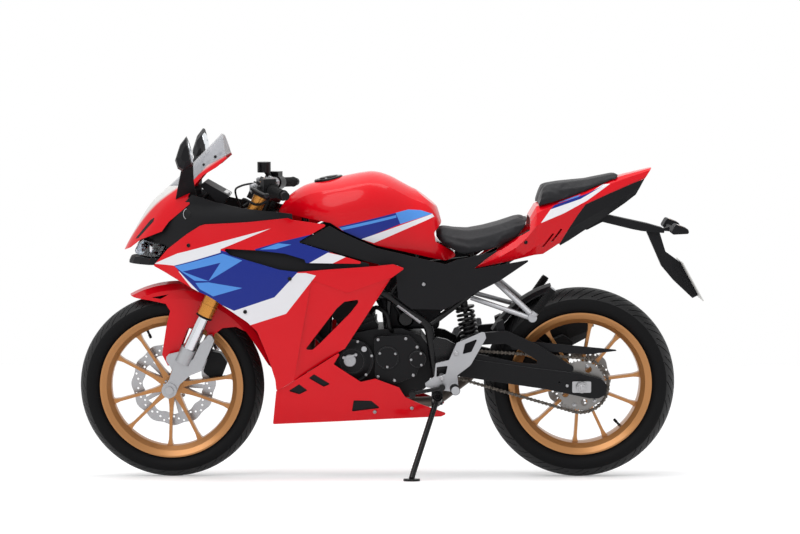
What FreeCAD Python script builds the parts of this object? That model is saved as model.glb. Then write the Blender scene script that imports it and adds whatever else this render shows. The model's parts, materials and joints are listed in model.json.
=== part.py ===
"""A 150 cc class sport bike with a full fairing, parked on its side stand.

Sizes are millimetres. The bike is drawn upright, with x from the front axle to the tail, y to the
rider's right and z up from the ground, and is leaned onto its stand at the end. The left side is -y.
"""
import FreeCAD, Part
import math
import os

os.makedirs("parts", exist_ok=True)

# Driving dimensions
WHEELBASE = 1311.0
FRONT_TYRE_RADIUS = 296.0
FRONT_TYRE_WIDTH = 100.0
REAR_TYRE_RADIUS = 307.0
REAR_TYRE_WIDTH = 130.0
RIM_FLANGE_RADIUS = 230.0
FRONT_RIM_WIDTH = 76.0
REAR_RIM_WIDTH = 100.0
CASTER = math.radians(25.5)
YOKE_OFFSET = 38.0
FORK_SPREAD = 98.0
LEAN = math.radians(8.0)
WALL = 3.0
GAP = 0.3
COWL_HALF_WIDTH = 208.0
CHAIN_Y = -75.0
ARM_INNER_Y = 87.0
ARM_WIDTH = 22.0
AXLE_RADIUS = 9.0
BORE_CLEARANCE = 0.05

nodes = {}


def vec(x, y, z):
    return FreeCAD.Vector(x, y, z)


# Shape helpers

def flat_wire(points, y=0.0):
    """Closed polygon in the upright plane of the bike, from (x, z) points."""
    corners = [vec(x, y, z) for x, z in points]
    return Part.makePolygon(corners + corners[:1])


def round_wire(points, radius, y=0.0):
    """Closed polygon of (x, z) points whose corners are arcs of up to the given radius."""
    corners = [vec(x, y, z) for x, z in points]
    count = len(corners)
    starts, ends, middles = [], [], []
    for i, corner in enumerate(corners):
        before = corners[i - 1] - corner
        after = corners[(i + 1) % count] - corner
        angle = before.getAngle(after)
        reach = radius / max(math.tan(angle / 2), 0.05)
        reach = min(reach, 0.45 * before.Length, 0.45 * after.Length)
        a = corner + vec(*before).normalize() * reach
        b = corner + vec(*after).normalize() * reach
        inside = (vec(*before).normalize() + vec(*after).normalize())
        arc_radius = reach * math.tan(angle / 2)
        if inside.Length < 1e-3:
            middle = None
        else:
            inside.normalize()
            centre = corner + inside * (arc_radius / math.sin(angle / 2))
            middle = centre - inside * arc_radius
        starts.append(a)
        ends.append(b)
        middles.append(middle)
    edges = []
    for i in range(count):
        if middles[i] is not None and (ends[i] - starts[i]).Length > 1e-3:
            edges.append(Part.Arc(starts[i], middles[i], ends[i]).toShape())
            last = ends[i]
        else:
            last = starts[i]
        following = starts[(i + 1) % count]
        if (following - last).Length > 1e-4:
            edges.append(Part.makeLine(last, following))
    return Part.Wire(edges)


def plate(points, y0, y1, radius=0.0, holes=(), hole_radius=0.0):
    """A slab with the outline of (x, z) points between two y planes, with holes of like outlines."""
    def wire(outline, r):
        return round_wire(outline, r, y0) if r else flat_wire(outline, y0)
    solid = Part.Face(wire(points, radius)).extrude(vec(0, y1 - y0, 0))
    for hole in holes:
        solid = solid.cut(Part.Face(wire(hole, hole_radius)).extrude(vec(0, y1 - y0, 0)))
    return solid


def bar(start, end, radius):
    """A round bar between two points."""
    along = end - start
    return Part.makeCylinder(radius, along.Length, start, along)


def bent_tube(points, radius, bend):
    """A round tube along straight runs joined by tangent arcs of the given bend radius."""
    edges = []
    last = points[0]
    for i in range(1, len(points) - 1):
        before = points[i - 1] - points[i]
        after = points[i + 1] - points[i]
        angle = before.getAngle(after)
        reach = min(bend / math.tan(angle / 2), 0.48 * before.Length, 0.48 * after.Length)
        u = vec(*before).normalize()
        w = vec(*after).normalize()
        a = points[i] + u * reach
        b = points[i] + w * reach
        inside = (u + w).normalize()
        arc_radius = reach * math.tan(angle / 2)
        middle = points[i] + inside * (arc_radius / math.sin(angle / 2) - arc_radius)
        edges.append(Part.makeLine(last, a))
        edges.append(Part.Arc(a, middle, b).toShape())
        last = b
    edges.append(Part.makeLine(last, points[-1]))
    path = Part.Wire(edges)
    section = Part.Wire(Part.makeCircle(radius, points[0], points[1] - points[0]))
    return path.makePipeShell([section], True, True)


def turned(profile, x, z):
    """A solid of revolution about the cross axis through (x, z), from closed (radius, y) points."""
    corners = [vec(x + r, y, z) for r, y in profile]
    face = Part.Face(Part.makePolygon(corners + corners[:1]))
    return face.revolve(vec(x, 0, z), vec(0, 1, 0), 360)


def drum(x, z, radius, y0, y1):
    """A round disc or boss across the bike."""
    return Part.makeCylinder(radius, y1 - y0, vec(x, y0, z), vec(0, 1, 0))


def mirrored(shape):
    """The same piece on the other side of the bike."""
    return shape.mirror(vec(0, 0, 0), vec(0, 1, 0))


def fused(*shapes):
    return shapes[0].fuse(list(shapes[1:])).removeSplitter()


def curve_value(table, at):
    """Linear reading of a list of (position, value) pairs, held at its ends."""
    if at <= table[0][0]:
        return table[0][1]
    for (a, va), (b, vb) in zip(table, table[1:]):
        if at <= b:
            return va + (vb - va) * (at - a) / (b - a)
    return table[-1][1]


def skin(grid):
    """A smooth surface through a grid of points."""
    surface = Part.BSplineSurface()
    surface.interpolate(grid)
    return surface.toShape()


def stations(low, high, count):
    return [low + (high - low) * i / (count - 1) for i in range(count)]


def thick(face, thickness):
    """The face as a wall of even thickness, growing to one side of it."""
    return face.makeOffsetShape(thickness, 0.01, fill=True)


def posted(root, tip, radius, target):
    """A post from its root towards a panel, stopping just short of the panel's inner face."""
    post = bar(root, tip, radius)
    along = (tip - root).normalize()
    blocked = post.cut(target).cut(target.translated(along * -GAP))
    pieces = sorted(blocked.Solids, key=lambda s: (s.CenterOfMass - root).Length)
    return pieces[0]


def both(shape):
    """A piece and its mirror image, as two solids of one part."""
    return Part.makeCompound([shape, mirrored(shape)])


# Fork geometry: s is the way up along the legs from the axle, ahead is towards the front

UP = vec(math.sin(CASTER), 0, math.cos(CASTER))
AHEAD = vec(-math.cos(CASTER), 0, math.sin(CASTER))
FRONT_AXLE = vec(0, 0, FRONT_TYRE_RADIUS)


def fork(s, ahead=0.0, y=0.0):
    return FRONT_AXLE + UP * s + AHEAD * ahead + vec(0, y, 0)


# Wheels: a cast rim with five pairs of spokes that leave the hub as a V, and a round tyre

def tyre(x, radius, width, rim_width):
    """The tyre's solid ring. Its bead sits between the rim's flanges."""
    bead = RIM_FLANGE_RADIUS - 12.0
    bead_y = rim_width / 2 - 6.0
    shoulder = radius - 0.24 * width
    shoulder_y = 0.46 * width
    widest = (bead + shoulder) / 2 + 8

    def at(r, y):
        return vec(x + r, y, radius)
    crown = Part.Arc(at(shoulder, shoulder_y), at(radius, 0), at(shoulder, -shoulder_y)).toShape()
    edges = [crown]
    for side in (-1, 1):
        edges.append(Part.makeLine(at(bead, side * bead_y), at(RIM_FLANGE_RADIUS + 2, side * bead_y)))
        edges.append(Part.Arc(at(RIM_FLANGE_RADIUS + 2, side * bead_y), at(widest, side * width / 2),
                              at(shoulder, side * shoulder_y)).toShape())
    edges.append(Part.makeLine(at(bead, -bead_y), at(bead, bead_y)))
    wire = Part.Wire(Part.__sortEdges__(edges))
    return Part.Face(wire).revolve(vec(x, 0, radius), vec(0, 1, 0), 360)


def rim(x, z, width, hub_left, hub_right, turn):
    """The gold cast rim: a well with two flanges, ten spokes in five pairs, and the hub."""
    half = width / 2
    flange = 5.0
    bead = RIM_FLANGE_RADIUS - 12.5
    ring = turned([
        (RIM_FLANGE_RADIUS, half), (RIM_FLANGE_RADIUS, half - flange + 1), (bead, half - flange),
        (bead, half - 18), (bead - 12, half - 26), (bead - 12, 26 - half), (bead, 18 - half),
        (bead, flange - half), (RIM_FLANGE_RADIUS, flange - 1 - half), (RIM_FLANGE_RADIUS, -half),
        (RIM_FLANGE_RADIUS - 5, -half), (bead - 8, 8 - half), (bead - 14, 14 - half),
        (bead - 22, 22 - half), (bead - 24, 0), (bead - 22, half - 22), (bead - 14, half - 14),
        (bead - 8, half - 8), (RIM_FLANGE_RADIUS - 5, half)], x, z)
    hub = turned([(36, hub_left), (36, hub_left + 6), (30, hub_left + 14), (34, 0),
                  (30, hub_right - 14), (36, hub_right - 6), (36, hub_right),
                  (AXLE_RADIUS + 4, hub_right), (AXLE_RADIUS + 4, hub_left)], x, z)
    lens = turned([(24, -24), (70, -14), (bead - 12, -11), (bead - 12, 11), (70, 14), (24, 24)], x, z)
    spread = math.radians(14.5)
    root = math.radians(16)
    arms = []
    for pair in range(5):
        middle = turn + math.radians(72 * pair)
        for side in (-1, 1):
            a = vec(x + 30 * math.cos(middle + side * root), 0, z + 30 * math.sin(middle + side * root))
            tip = middle + side * spread
            b = vec(x + (bead - 18) * math.cos(tip), 0, z + (bead - 18) * math.sin(tip))
            along = (b - a).normalize()
            across = vec(-along.z, 0, along.x)
            length = (b - a).Length
            widths = [(0, 11), (0.18 * length, 7), (0.45 * length, 4.6), (0.85 * length, 5),
                      (0.95 * length, 8), (length, 15)]
            outline = [a + along * d + across * w for d, w in widths]
            outline += [a + along * d - across * w for d, w in reversed(widths)]
            arms.append(plate([(p.x, p.z) for p in outline], -24, 24, 6))
    spokes = arms[0].fuse(arms[1:]).common(lens)
    bore = drum(x, z, AXLE_RADIUS + 4, hub_left - 1, hub_right + 1)
    return ring.fuse([hub, spokes]).cut(bore).removeSplitter()


def wave_disc(x, z, radius, inner, y0, y1, bolt_radius, waves, turn):
    """A brake disc with a wavy edge, rows of holes and five arms to its bolts on the hub."""
    edge, hollow = [], []
    per_wave = 6
    count = waves * per_wave
    for i in range(count):
        a = 2 * math.pi * i / count
        swing = math.cos(waves * a)
        edge.append(vec(x + (radius + 3 * swing) * math.cos(a), y0, z + (radius + 3 * swing) * math.sin(a)))
        hollow.append(vec(x + (inner + 3 * swing) * math.cos(a), y0, z + (inner + 3 * swing) * math.sin(a)))
    thickness = y1 - y0

    def closed(points):
        spline = Part.BSplineCurve()
        spline.interpolate(points, PeriodicFlag=True)
        return Part.Face(Part.Wire(spline.toShape())).extrude(vec(0, thickness, 0))
    ring = closed(edge).cut(closed(hollow))
    holes = []
    for i in range(waves * 4):
        a = 2 * math.pi * i / (waves * 4)
        r = inner + (radius - inner) * (0.28, 0.5, 0.74, 0.5)[i % 4]
        holes.append(drum(x + r * math.cos(a), z + r * math.sin(a), 3.6, y0 - 1, y1 + 1))
    ring = ring.cut(Part.makeCompound(holes))
    centre = drum(x, z, bolt_radius + 8, y0, y1).cut(drum(x, z, bolt_radius - 9, y0, y1))
    arms = []
    for i in range(5):
        a = turn + math.radians(72 * i)
        p, q = vec(math.cos(a), 0, math.sin(a)), vec(-math.sin(a), 0, math.cos(a))
        c = vec(x, 0, z)
        corners = [c + p * bolt_radius + q * 9, c + p * (inner + 6) + q * 6,
                   c + p * (inner + 6) - q * 6, c + p * bolt_radius - q * 9]
        arms.append(plate([(k.x, k.z) for k in corners], y0, y1))
    return ring.fuse([centre] + arms).removeSplitter()


FRONT_HUB = 32.0
REAR_HUB_LEFT = -66.0
REAR_HUB_RIGHT = 56.0
DISC_THICKNESS = 4.0
FRONT_SPOKE_TURN = math.radians(-78)
REAR_SPOKE_TURN = math.radians(65)

nodes["front_tyre"] = tyre(0, FRONT_TYRE_RADIUS, FRONT_TYRE_WIDTH, FRONT_RIM_WIDTH)
nodes["front_rim"] = rim(0, FRONT_TYRE_RADIUS, FRONT_RIM_WIDTH, -FRONT_HUB, FRONT_HUB, FRONT_SPOKE_TURN)
nodes["front_brake_disc"] = wave_disc(0, FRONT_TYRE_RADIUS, 134, 98, FRONT_HUB, FRONT_HUB + DISC_THICKNESS,
                                      28, 12, FRONT_SPOKE_TURN)
nodes["rear_tyre"] = tyre(WHEELBASE, REAR_TYRE_RADIUS, REAR_TYRE_WIDTH, REAR_RIM_WIDTH)
nodes["rear_rim"] = rim(WHEELBASE, REAR_TYRE_RADIUS, REAR_RIM_WIDTH, REAR_HUB_LEFT, REAR_HUB_RIGHT,
                        REAR_SPOKE_TURN)
nodes["rear_brake_disc"] = wave_disc(WHEELBASE, REAR_TYRE_RADIUS, 106, 74, REAR_HUB_RIGHT,
                                     REAR_HUB_RIGHT + DISC_THICKNESS, 28, 10, REAR_SPOKE_TURN)

# Final drive: the sprocket turns with the rear wheel, just inside the rollers of a fixed chain loop

CHAIN_PITCH = 12.7
CHAIN_WIDTH = 16.0
ROLLER_RADIUS = 4.3
SPROCKET_PITCH_RADIUS = 88.0
FRONT_SPROCKET_PITCH_RADIUS = 31.0
FRONT_SPROCKET = (790.0, 400.0)
SPROCKET_THICKNESS = 6.0


def toothed_wheel(x, z, pitch_radius, thickness, y, bore):
    """A sprocket whose tooth tips stop just short of the chain's rollers."""
    teeth = int(round(2 * math.pi * pitch_radius / CHAIN_PITCH))
    tip = pitch_radius - ROLLER_RADIUS - 1.7
    root = tip - 4.5
    outline = []
    for i in range(teeth):
        for share, r in ((-0.22, root), (-0.09, tip), (0.09, tip), (0.22, root)):
            a = 2 * math.pi * (i + share) / teeth
            outline.append((x + r * math.cos(a), z + r * math.sin(a)))
    wheel = plate(outline, y - thickness / 2, y + thickness / 2)
    return wheel.cut(drum(x, z, bore, y - thickness, y + thickness))


def chain_loop():
    """The closed path of the chain round both sprockets, as points one half pitch apart."""
    big = (WHEELBASE, REAR_TYRE_RADIUS, SPROCKET_PITCH_RADIUS)
    small = (*FRONT_SPROCKET, FRONT_SPROCKET_PITCH_RADIUS)
    dx, dz = small[0] - big[0], small[1] - big[1]
    distance = math.hypot(dx, dz)
    heading = math.atan2(dz, dx)
    lean_in = math.acos((big[2] - small[2]) / distance)
    straight = math.sqrt(distance ** 2 - (big[2] - small[2]) ** 2)
    a_up, a_down = heading - lean_in, heading + lean_in
    wrap_big = 2 * math.pi - 2 * lean_in
    wrap_small = 2 * lean_in
    total = 2 * straight + big[2] * wrap_big + small[2] * wrap_small
    links = 2 * int(round(total / CHAIN_PITCH / 2))
    step = total / links / 2

    def at(s):
        """Point and outward direction at the distance s along the loop."""
        if s < big[2] * wrap_big:
            a = a_down + s / big[2]
            return big[0] + big[2] * math.cos(a), big[1] + big[2] * math.sin(a), math.cos(a), math.sin(a)
        s -= big[2] * wrap_big
        nx, nz = math.cos(a_up), math.sin(a_up)
        if s < straight:
            px, pz = big[0] + big[2] * nx, big[1] + big[2] * nz
            qx, qz = small[0] + small[2] * nx, small[1] + small[2] * nz
            t = s / straight
            return px + (qx - px) * t, pz + (qz - pz) * t, nx, nz
        s -= straight
        if s < small[2] * wrap_small:
            a = a_up + s / small[2]
            return (small[0] + small[2] * math.cos(a), small[1] + small[2] * math.sin(a),
                    math.cos(a), math.sin(a))
        s -= small[2] * wrap_small
        nx, nz = math.cos(a_down), math.sin(a_down)
        px, pz = small[0] + small[2] * nx, small[1] + small[2] * nz
        qx, qz = big[0] + big[2] * nx, big[1] + big[2] * nz
        t = s / straight
        return px + (qx - px) * t, pz + (qz - pz) * t, nx, nz
    return [at(i * step) for i in range(2 * links)]


def chain():
    """The whole loop as one band whose edges bulge at each pin, as the side plates do."""
    outer, inner = [], []
    for i, (x, z, nx, nz) in enumerate(chain_loop()):
        reach = 5.6 if i % 2 == 0 else 3.9
        outer.append((x + nx * reach, z + nz * reach))
        inner.append((x - nx * reach, z - nz * reach))
    y0, y1 = CHAIN_Y - CHAIN_WIDTH / 2, CHAIN_Y + CHAIN_WIDTH / 2
    band = plate(outer, y0, y1).cut(plate(inner, y0 - 1, y1 + 1))
    return band


sprocket = toothed_wheel(WHEELBASE, REAR_TYRE_RADIUS, SPROCKET_PITCH_RADIUS, SPROCKET_THICKNESS, CHAIN_Y,
                         26)
windows = []
for i in range(5):
    a = math.radians(72 * i) + REAR_SPOKE_TURN
    windows.append(drum(WHEELBASE + 56 * math.cos(a), REAR_TYRE_RADIUS + 56 * math.sin(a), 11,
                        CHAIN_Y - SPROCKET_THICKNESS, CHAIN_Y + SPROCKET_THICKNESS))
carrier = drum(WHEELBASE, REAR_TYRE_RADIUS, 44, CHAIN_Y + SPROCKET_THICKNESS / 2, REAR_HUB_LEFT)
carrier = carrier.cut(drum(WHEELBASE, REAR_TYRE_RADIUS, 26, CHAIN_Y, REAR_HUB_LEFT + 1))
nodes["rear_sprocket"] = sprocket.cut(Part.makeCompound(windows)).fuse(carrier).removeSplitter()
nodes["drive_chain"] = chain()

# Fork, yokes and bars, which turn together about the steering axis

FORK_LENGTH = 726.0
LEG_LOW = 118.0
COLLAR_LOW = 262.0
COLLAR_HIGH = 330.0
LOWER_YOKE = 470.0
UPPER_YOKE = 684.0
INNER_TUBE_RADIUS = 18.5
COLLAR_RADIUS = 26.0
OUTER_TUBE_RADIUS = 22.5
STEM_RADIUS = 15.0
YOKE_REAR = 23.0
YOKE_REAR_HALF = 20.0
STEER_CLEARANCE = 9.0


def leg_outer(y):
    """The gold outer tube: a wider collar below and a slimmer tube that the yokes clamp."""
    low = Part.makeCylinder(COLLAR_RADIUS, COLLAR_HIGH - COLLAR_LOW, fork(COLLAR_LOW, y=y), UP)
    ring = Part.makeCylinder(COLLAR_RADIUS + 1.5, 6, fork(COLLAR_LOW + 34, y=y), UP)
    cone = Part.makeCone(COLLAR_RADIUS, OUTER_TUBE_RADIUS, 22, fork(COLLAR_HIGH, y=y), UP)
    top = Part.makeCylinder(OUTER_TUBE_RADIUS, FORK_LENGTH - COLLAR_HIGH - 22, fork(COLLAR_HIGH + 22, y=y),
                            UP)
    body = fused(low, ring, cone, top)
    inside = Part.makeCylinder(INNER_TUBE_RADIUS + GAP, 60, fork(COLLAR_LOW - 1, y=y), UP)
    return body.cut(inside)


def leg_inner(y):
    """The polished inner tube between the casting at the axle and the outer tube."""
    return Part.makeCylinder(INNER_TUBE_RADIUS, COLLAR_LOW + 40 - LEG_LOW, fork(LEG_LOW, y=y), UP)


def leg_foot(y, side):
    """The silver casting that holds the axle and the inner tube, with a web behind it."""
    def pts(pairs):
        return [(fork(s, a).x, fork(s, a).z) for s, a in pairs]
    thick_y = 21.0
    web = plate(pts([(118, 24), (30, 15), (-4, 22), (-24, 10), (-26, -10), (-8, -24), (30, -22), (72, -40),
                     (100, -66), (206, -62), (220, -44), (180, -26), (118, -26)]),
                y - thick_y / 2, y + thick_y / 2, 7)
    socket = Part.makeCylinder(25, 50, fork(96, y=y), UP)
    boss = drum(0, FRONT_TYRE_RADIUS, 24, y - 16 if side < 0 else y - 14, y + 14 if side < 0 else y + 16)
    lug = drum(130, 463, 10, y - 14, y + 14)
    front_lug = plate(pts([(128, 20), (60, 14), (80, 48), (92, 54), (104, 50)]), y - 6, y + 6, 3)
    foot = fused(web, socket, boss, lug, front_lug)
    foot = foot.cut(Part.makeCylinder(INNER_TUBE_RADIUS, 400, fork(LEG_LOW, y=y), UP))
    return foot.cut(drum(0, FRONT_TYRE_RADIUS, AXLE_RADIUS + GAP, y - 40, y + 40))


nodes["fork_outer_tubes"] = Part.makeCompound([leg_outer(-FORK_SPREAD), leg_outer(FORK_SPREAD)])
nodes["fork_inner_tubes"] = Part.makeCompound([leg_inner(-FORK_SPREAD), leg_inner(FORK_SPREAD)])
nodes["fork_feet"] = Part.makeCompound([leg_foot(-FORK_SPREAD, -1), leg_foot(FORK_SPREAD, 1)])
FORK_OUTER_Y = FORK_SPREAD + 18
nodes["front_axle"] = fused(
    drum(0, FRONT_TYRE_RADIUS, AXLE_RADIUS, -FORK_OUTER_Y, FORK_OUTER_Y),
    drum(0, FRONT_TYRE_RADIUS, 13, -FORK_OUTER_Y - 4, -FORK_OUTER_Y + 2),
    drum(0, FRONT_TYRE_RADIUS, 13, FORK_OUTER_Y - 2, FORK_OUTER_Y + 6),
    drum(0, FRONT_TYRE_RADIUS, 14, -FORK_SPREAD + 14 + GAP, -FRONT_HUB - 1),
    drum(0, FRONT_TYRE_RADIUS, 14, FRONT_HUB + DISC_THICKNESS + 1, FORK_SPREAD - 14 - GAP))


def yoke(s, height, clamp_radius, depth):
    """A triple clamp: a web between two clamps that grip the fork's outer tubes."""
    across = []
    for ahead, y in ((depth, -FORK_SPREAD + 6), (depth - 4, 0), (depth, FORK_SPREAD - 6),
                     (-20, FORK_SPREAD - 6), (-YOKE_OFFSET - YOKE_REAR, YOKE_REAR_HALF),
                     (-YOKE_OFFSET - YOKE_REAR, -YOKE_REAR_HALF), (-20, -FORK_SPREAD + 6)):
        across.append(fork(s, ahead, y))
    web = Part.Face(Part.makePolygon(across + across[:1])).extrude(UP * height)
    clamps = [Part.makeCylinder(clamp_radius, height, fork(s, y=y),
                                UP) for y in (-FORK_SPREAD, FORK_SPREAD)]
    body = fused(web, *clamps)
    for y in (-FORK_SPREAD, FORK_SPREAD):
        body = body.cut(Part.makeCylinder(OUTER_TUBE_RADIUS, height + 10, fork(s - 5, y=y), UP))
    return body


stem = Part.makeCylinder(STEM_RADIUS, UPPER_YOKE - LOWER_YOKE + 40, fork(LOWER_YOKE, -YOKE_OFFSET), UP)
stem_nut = Part.makeCylinder(19, 14, fork(UPPER_YOKE + 20, -YOKE_OFFSET), UP)
lock = Part.makeCylinder(17, 56, fork(UPPER_YOKE - 30, 26), UP)
nodes["yokes"] = fused(yoke(LOWER_YOKE, 30, 36, 22), yoke(UPPER_YOKE, 20, 34, 18), stem, stem_nut, lock)

BAR_CLAMP = UPPER_YOKE + 20.0
GRIP_END = vec(378, -318, 932)
BAR_RADIUS = 11.0
GRIP_RADIUS = 16.0
GRIP_LENGTH = 118.0
bar_root = fork(BAR_CLAMP + 12, y=-FORK_SPREAD - 20)
bar_line = (GRIP_END - bar_root).normalize()
GRIP_START = GRIP_END - bar_line * GRIP_LENGTH


def clip_on():
    """A clamp round the top of a fork tube and the bar that it holds."""
    clamp = Part.makeCylinder(33, 20, fork(BAR_CLAMP + GAP, y=-FORK_SPREAD), UP)
    clamp = clamp.cut(Part.makeCylinder(OUTER_TUBE_RADIUS, 60, fork(BAR_CLAMP - 5, y=-FORK_SPREAD), UP))
    tube = bar(bar_root, GRIP_END, BAR_RADIUS)
    tube = tube.cut(Part.makeCylinder(OUTER_TUBE_RADIUS, 90, fork(BAR_CLAMP - 30, y=-FORK_SPREAD), UP))
    end = bar(GRIP_END, GRIP_END + bar_line * 22, 13)
    return fused(clamp, tube, end)


def grip():
    body = bar(GRIP_START, GRIP_END, GRIP_RADIUS)
    flange = bar(GRIP_START, GRIP_START + bar_line * 5, GRIP_RADIUS + 5)
    return fused(body, flange).cut(bar(GRIP_START - bar_line, GRIP_END + bar_line, BAR_RADIUS))


def switch_block():
    """Switch housing, lever perch and lever of one side, fused on the bar."""
    inner = GRIP_START - bar_line * 2
    housing = bar(inner - bar_line * 42, inner, 23)
    lump = Part.makeBox(40, 36, 44, vec(-20, -18, -22))
    lump.Placement = FreeCAD.Placement(inner - bar_line * 22 + vec(-8, 0, 14),
                                       FreeCAD.Rotation(vec(0, 0, 1), 20))
    perch_root = inner - bar_line * 56
    perch = bar(perch_root - bar_line * 9, perch_root + bar_line * 9, 18)
    pivot = perch_root + vec(-44, -8, 4)
    arm = bar(perch_root, pivot, 9)
    knob = Part.makeCylinder(12, 16, pivot - vec(0, 0, 8), vec(0, 0, 1))
    lever = bent_tube([pivot, pivot + vec(-4, -40, 0), GRIP_END + vec(-62, 24, 0),
                       GRIP_END + vec(-52, -4, 0)], 5.5, 40)
    tip = Part.makeSphere(8, GRIP_END + vec(-52, -4, 0))
    return fused(housing, lump, perch, arm, knob, lever, tip).cut(
        bar(bar_root, GRIP_END + bar_line * 5, BAR_RADIUS))


nodes["handlebars"] = both(clip_on())
nodes["hand_grips"] = both(grip())
controls_left = switch_block()
reservoir_post = bar(GRIP_START - bar_line * 56, GRIP_START - bar_line * 56 + vec(-28, 10, 44), 8)
reservoir = Part.makeCylinder(22, 34, GRIP_START - bar_line * 56 + vec(-30, 12, 34), vec(0, 0, 1))
controls_right = mirrored(fused(controls_left, reservoir_post, reservoir).cut(
    bar(bar_root, GRIP_END + bar_line * 5, BAR_RADIUS)))
nodes["hand_controls"] = Part.makeCompound([controls_left, controls_right])

# Front mudguard: an arched shell over the tyre with a leg each side that bolts to the casting

FENDER_CENTRE = (25.0, 318.0)
FENDER_RADIUS = 317.0
FENDER_HALF_WIDTH = 66.0


def front_fender():
    """A channel turned about a centre behind the axle, cut to its side outline, with its tabs."""
    r = FENDER_RADIUS
    w = FENDER_HALF_WIDTH
    leg = 60.0
    outer = [(leg, -w), (r - 50, -w), (r - 24, -w + 7), (r - 6, -34), (r, 0), (r - 6, 34), (r - 24, w - 7),
             (r - 50, w), (leg, w)]
    inner = [(leg, -w + WALL), (r - 50, -w + WALL), (r - 25.5, -w + 9.6), (r - 9, -33), (r - WALL, 0),
             (r - 9, 33), (r - 25.5, w - 9.6), (r - 50, w - WALL), (leg, w - WALL)]
    channel = turned(outer + inner[::-1], *FENDER_CENTRE)
    side = [(-132, 592), (-136, 640), (60, 660), (160, 660), (260, 640), (345, 470), (345, 358), (322, 360),
            (312, 372), (280, 424), (243, 478), (210, 494), (168, 490), (142, 470), (137, 455), (126, 452),
            (118, 462), (118, 478), (100, 500), (56, 489), (24, 405), (0, 353), (-26, 405), (-11, 498),
            (1, 545), (-13, 568), (-60, 578), (-115, 586)]
    vent = [(-58, 588), (-2, 598), (-30, 583)]
    shell = channel.common(plate(side, -w - 10, w + 10, 0, [vent]))
    tabs = [drum(1, 397, 8, -FORK_SPREAD + 6 + GAP, -w + 1.5), drum(130, 463, 8, -FORK_SPREAD + 14 + GAP,
                                                                    -w + 1.5)]
    return shell.fuse(tabs + [mirrored(t) for t in tabs]).removeSplitter()


nodes["front_fender"] = front_fender()

caliper = plate([(fork(s, a).x, fork(s, a).z) for s, a in
                 ((150, -62), (158, -96), (140, -128), (84, -132), (70, -104), (78, -70))],
                FRONT_HUB - 16, FRONT_HUB + 26, 10)
caliper_slot = Part.makeBox(400, DISC_THICKNESS + 4, 400, vec(-200, FRONT_HUB - 2, FRONT_TYRE_RADIUS - 200))
caliper = caliper.cut(caliper_slot.common(drum(0, FRONT_TYRE_RADIUS, 142, FRONT_HUB - 4, FRONT_HUB + 10)))
caliper_arm = plate([(fork(s, a).x, fork(s, a).z) for s, a in
                     ((146, -48), (150, -84), (84, -92), (78, -52))],
                    FRONT_HUB + 26, FORK_SPREAD - 10.5 - GAP, 6)
nodes["front_caliper"] = fused(caliper, caliper_arm)

# Frame: tubes from the steering head to the swingarm pivot, and the rails under the seat

HEAD_LOW = LOWER_YOKE + 30 + 4
HEAD_HIGH = UPPER_YOKE - 4
HEAD_RADIUS = 27.0
PIVOT = (900.0, 376.0)
RAIL_RADIUS = 14.0
RAIL_Y = 112.0
head = Part.makeCylinder(HEAD_RADIUS, HEAD_HIGH - HEAD_LOW, fork(HEAD_LOW, -YOKE_OFFSET), UP)
head = head.cut(Part.makeCylinder(STEM_RADIUS + 0.5, HEAD_HIGH - HEAD_LOW + 2,
                                  fork(HEAD_LOW - 1, -YOKE_OFFSET), UP))


def frame_side():
    """The tubes of the left side."""
    start = fork(HEAD_HIGH - 40, -YOKE_OFFSET - 16, -18)
    low_start = fork(HEAD_LOW + 26, -YOKE_OFFSET - 16, -16)
    main = bent_tube([start, vec(430, -96, 745), vec(700, -RAIL_Y, 598), vec(824, -RAIL_Y, 505),
                      vec(850, -RAIL_Y, 336)], RAIL_RADIUS, 60)
    lower = bent_tube([low_start, vec(440, -82, 610), vec(700, -RAIL_Y + 4, 598)], RAIL_RADIUS - 2, 60)
    seat_rail = bent_tube([vec(700, -RAIL_Y + 2, 598), vec(760, -92, 672), vec(1000, -80, 700),
                           vec(1260, -52, 838)], RAIL_RADIUS - 3, 60)
    stay = bent_tube([vec(832, -RAIL_Y + 6, 508), vec(1010, -72, 640), vec(1150, -54, 780)], RAIL_RADIUS - 4,
                     60)
    plate_points = [(840, 470), (880, 462), (920, 440), (934, 395), (926, 350), (890, 312), (840, 316)]
    pivot_plate = plate(plate_points, -RAIL_Y - 12, -ARM_INNER_Y - ARM_WIDTH - 1, 12)
    return [main, lower, seat_rail, stay, pivot_plate]


left_tubes = frame_side()
cross_low = bar(vec(856, -RAIL_Y - 6, 325), vec(856, RAIL_Y + 6, 325), 10)
cross_mid = bar(vec(716, -RAIL_Y, 590), vec(716, RAIL_Y, 590), 11)
cross_rear = bar(vec(1150, -60, 780), vec(1150, 60, 780), 9)
cross_shock = bar(vec(884, -95, 552), vec(884, 95, 552), 10)
shock_ears = [plate([(874, 548), (918, 628), (940, 620), (944, 602), (896, 544)], y, y + 6,
                    3) for y in (-20.3, 14.3)]
frame_pieces = left_tubes + [mirrored(t) for t in left_tubes] + [cross_low, cross_mid, cross_rear,
                                                                 cross_shock] + shock_ears
main_frame = head.fuse(frame_pieces)
main_frame = main_frame.cut(Part.makeCylinder(STEM_RADIUS + 0.5, 400, fork(HEAD_LOW - 120, -YOKE_OFFSET),
                                              UP))
main_frame = main_frame.cut(drum(*PIVOT, AXLE_RADIUS + BORE_CLEARANCE, -160, 160))

# Swingarm: two box arms with a raised brace, joined by the pivot tube and a bridge

REAR_OUTER_Y = ARM_INNER_Y + ARM_WIDTH
SPOOL = (1240.0, 322.0)
SPOOL_HOLE_RADIUS = 4.0
SPOOL_HOLE_DEPTH = 12.0

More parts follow.
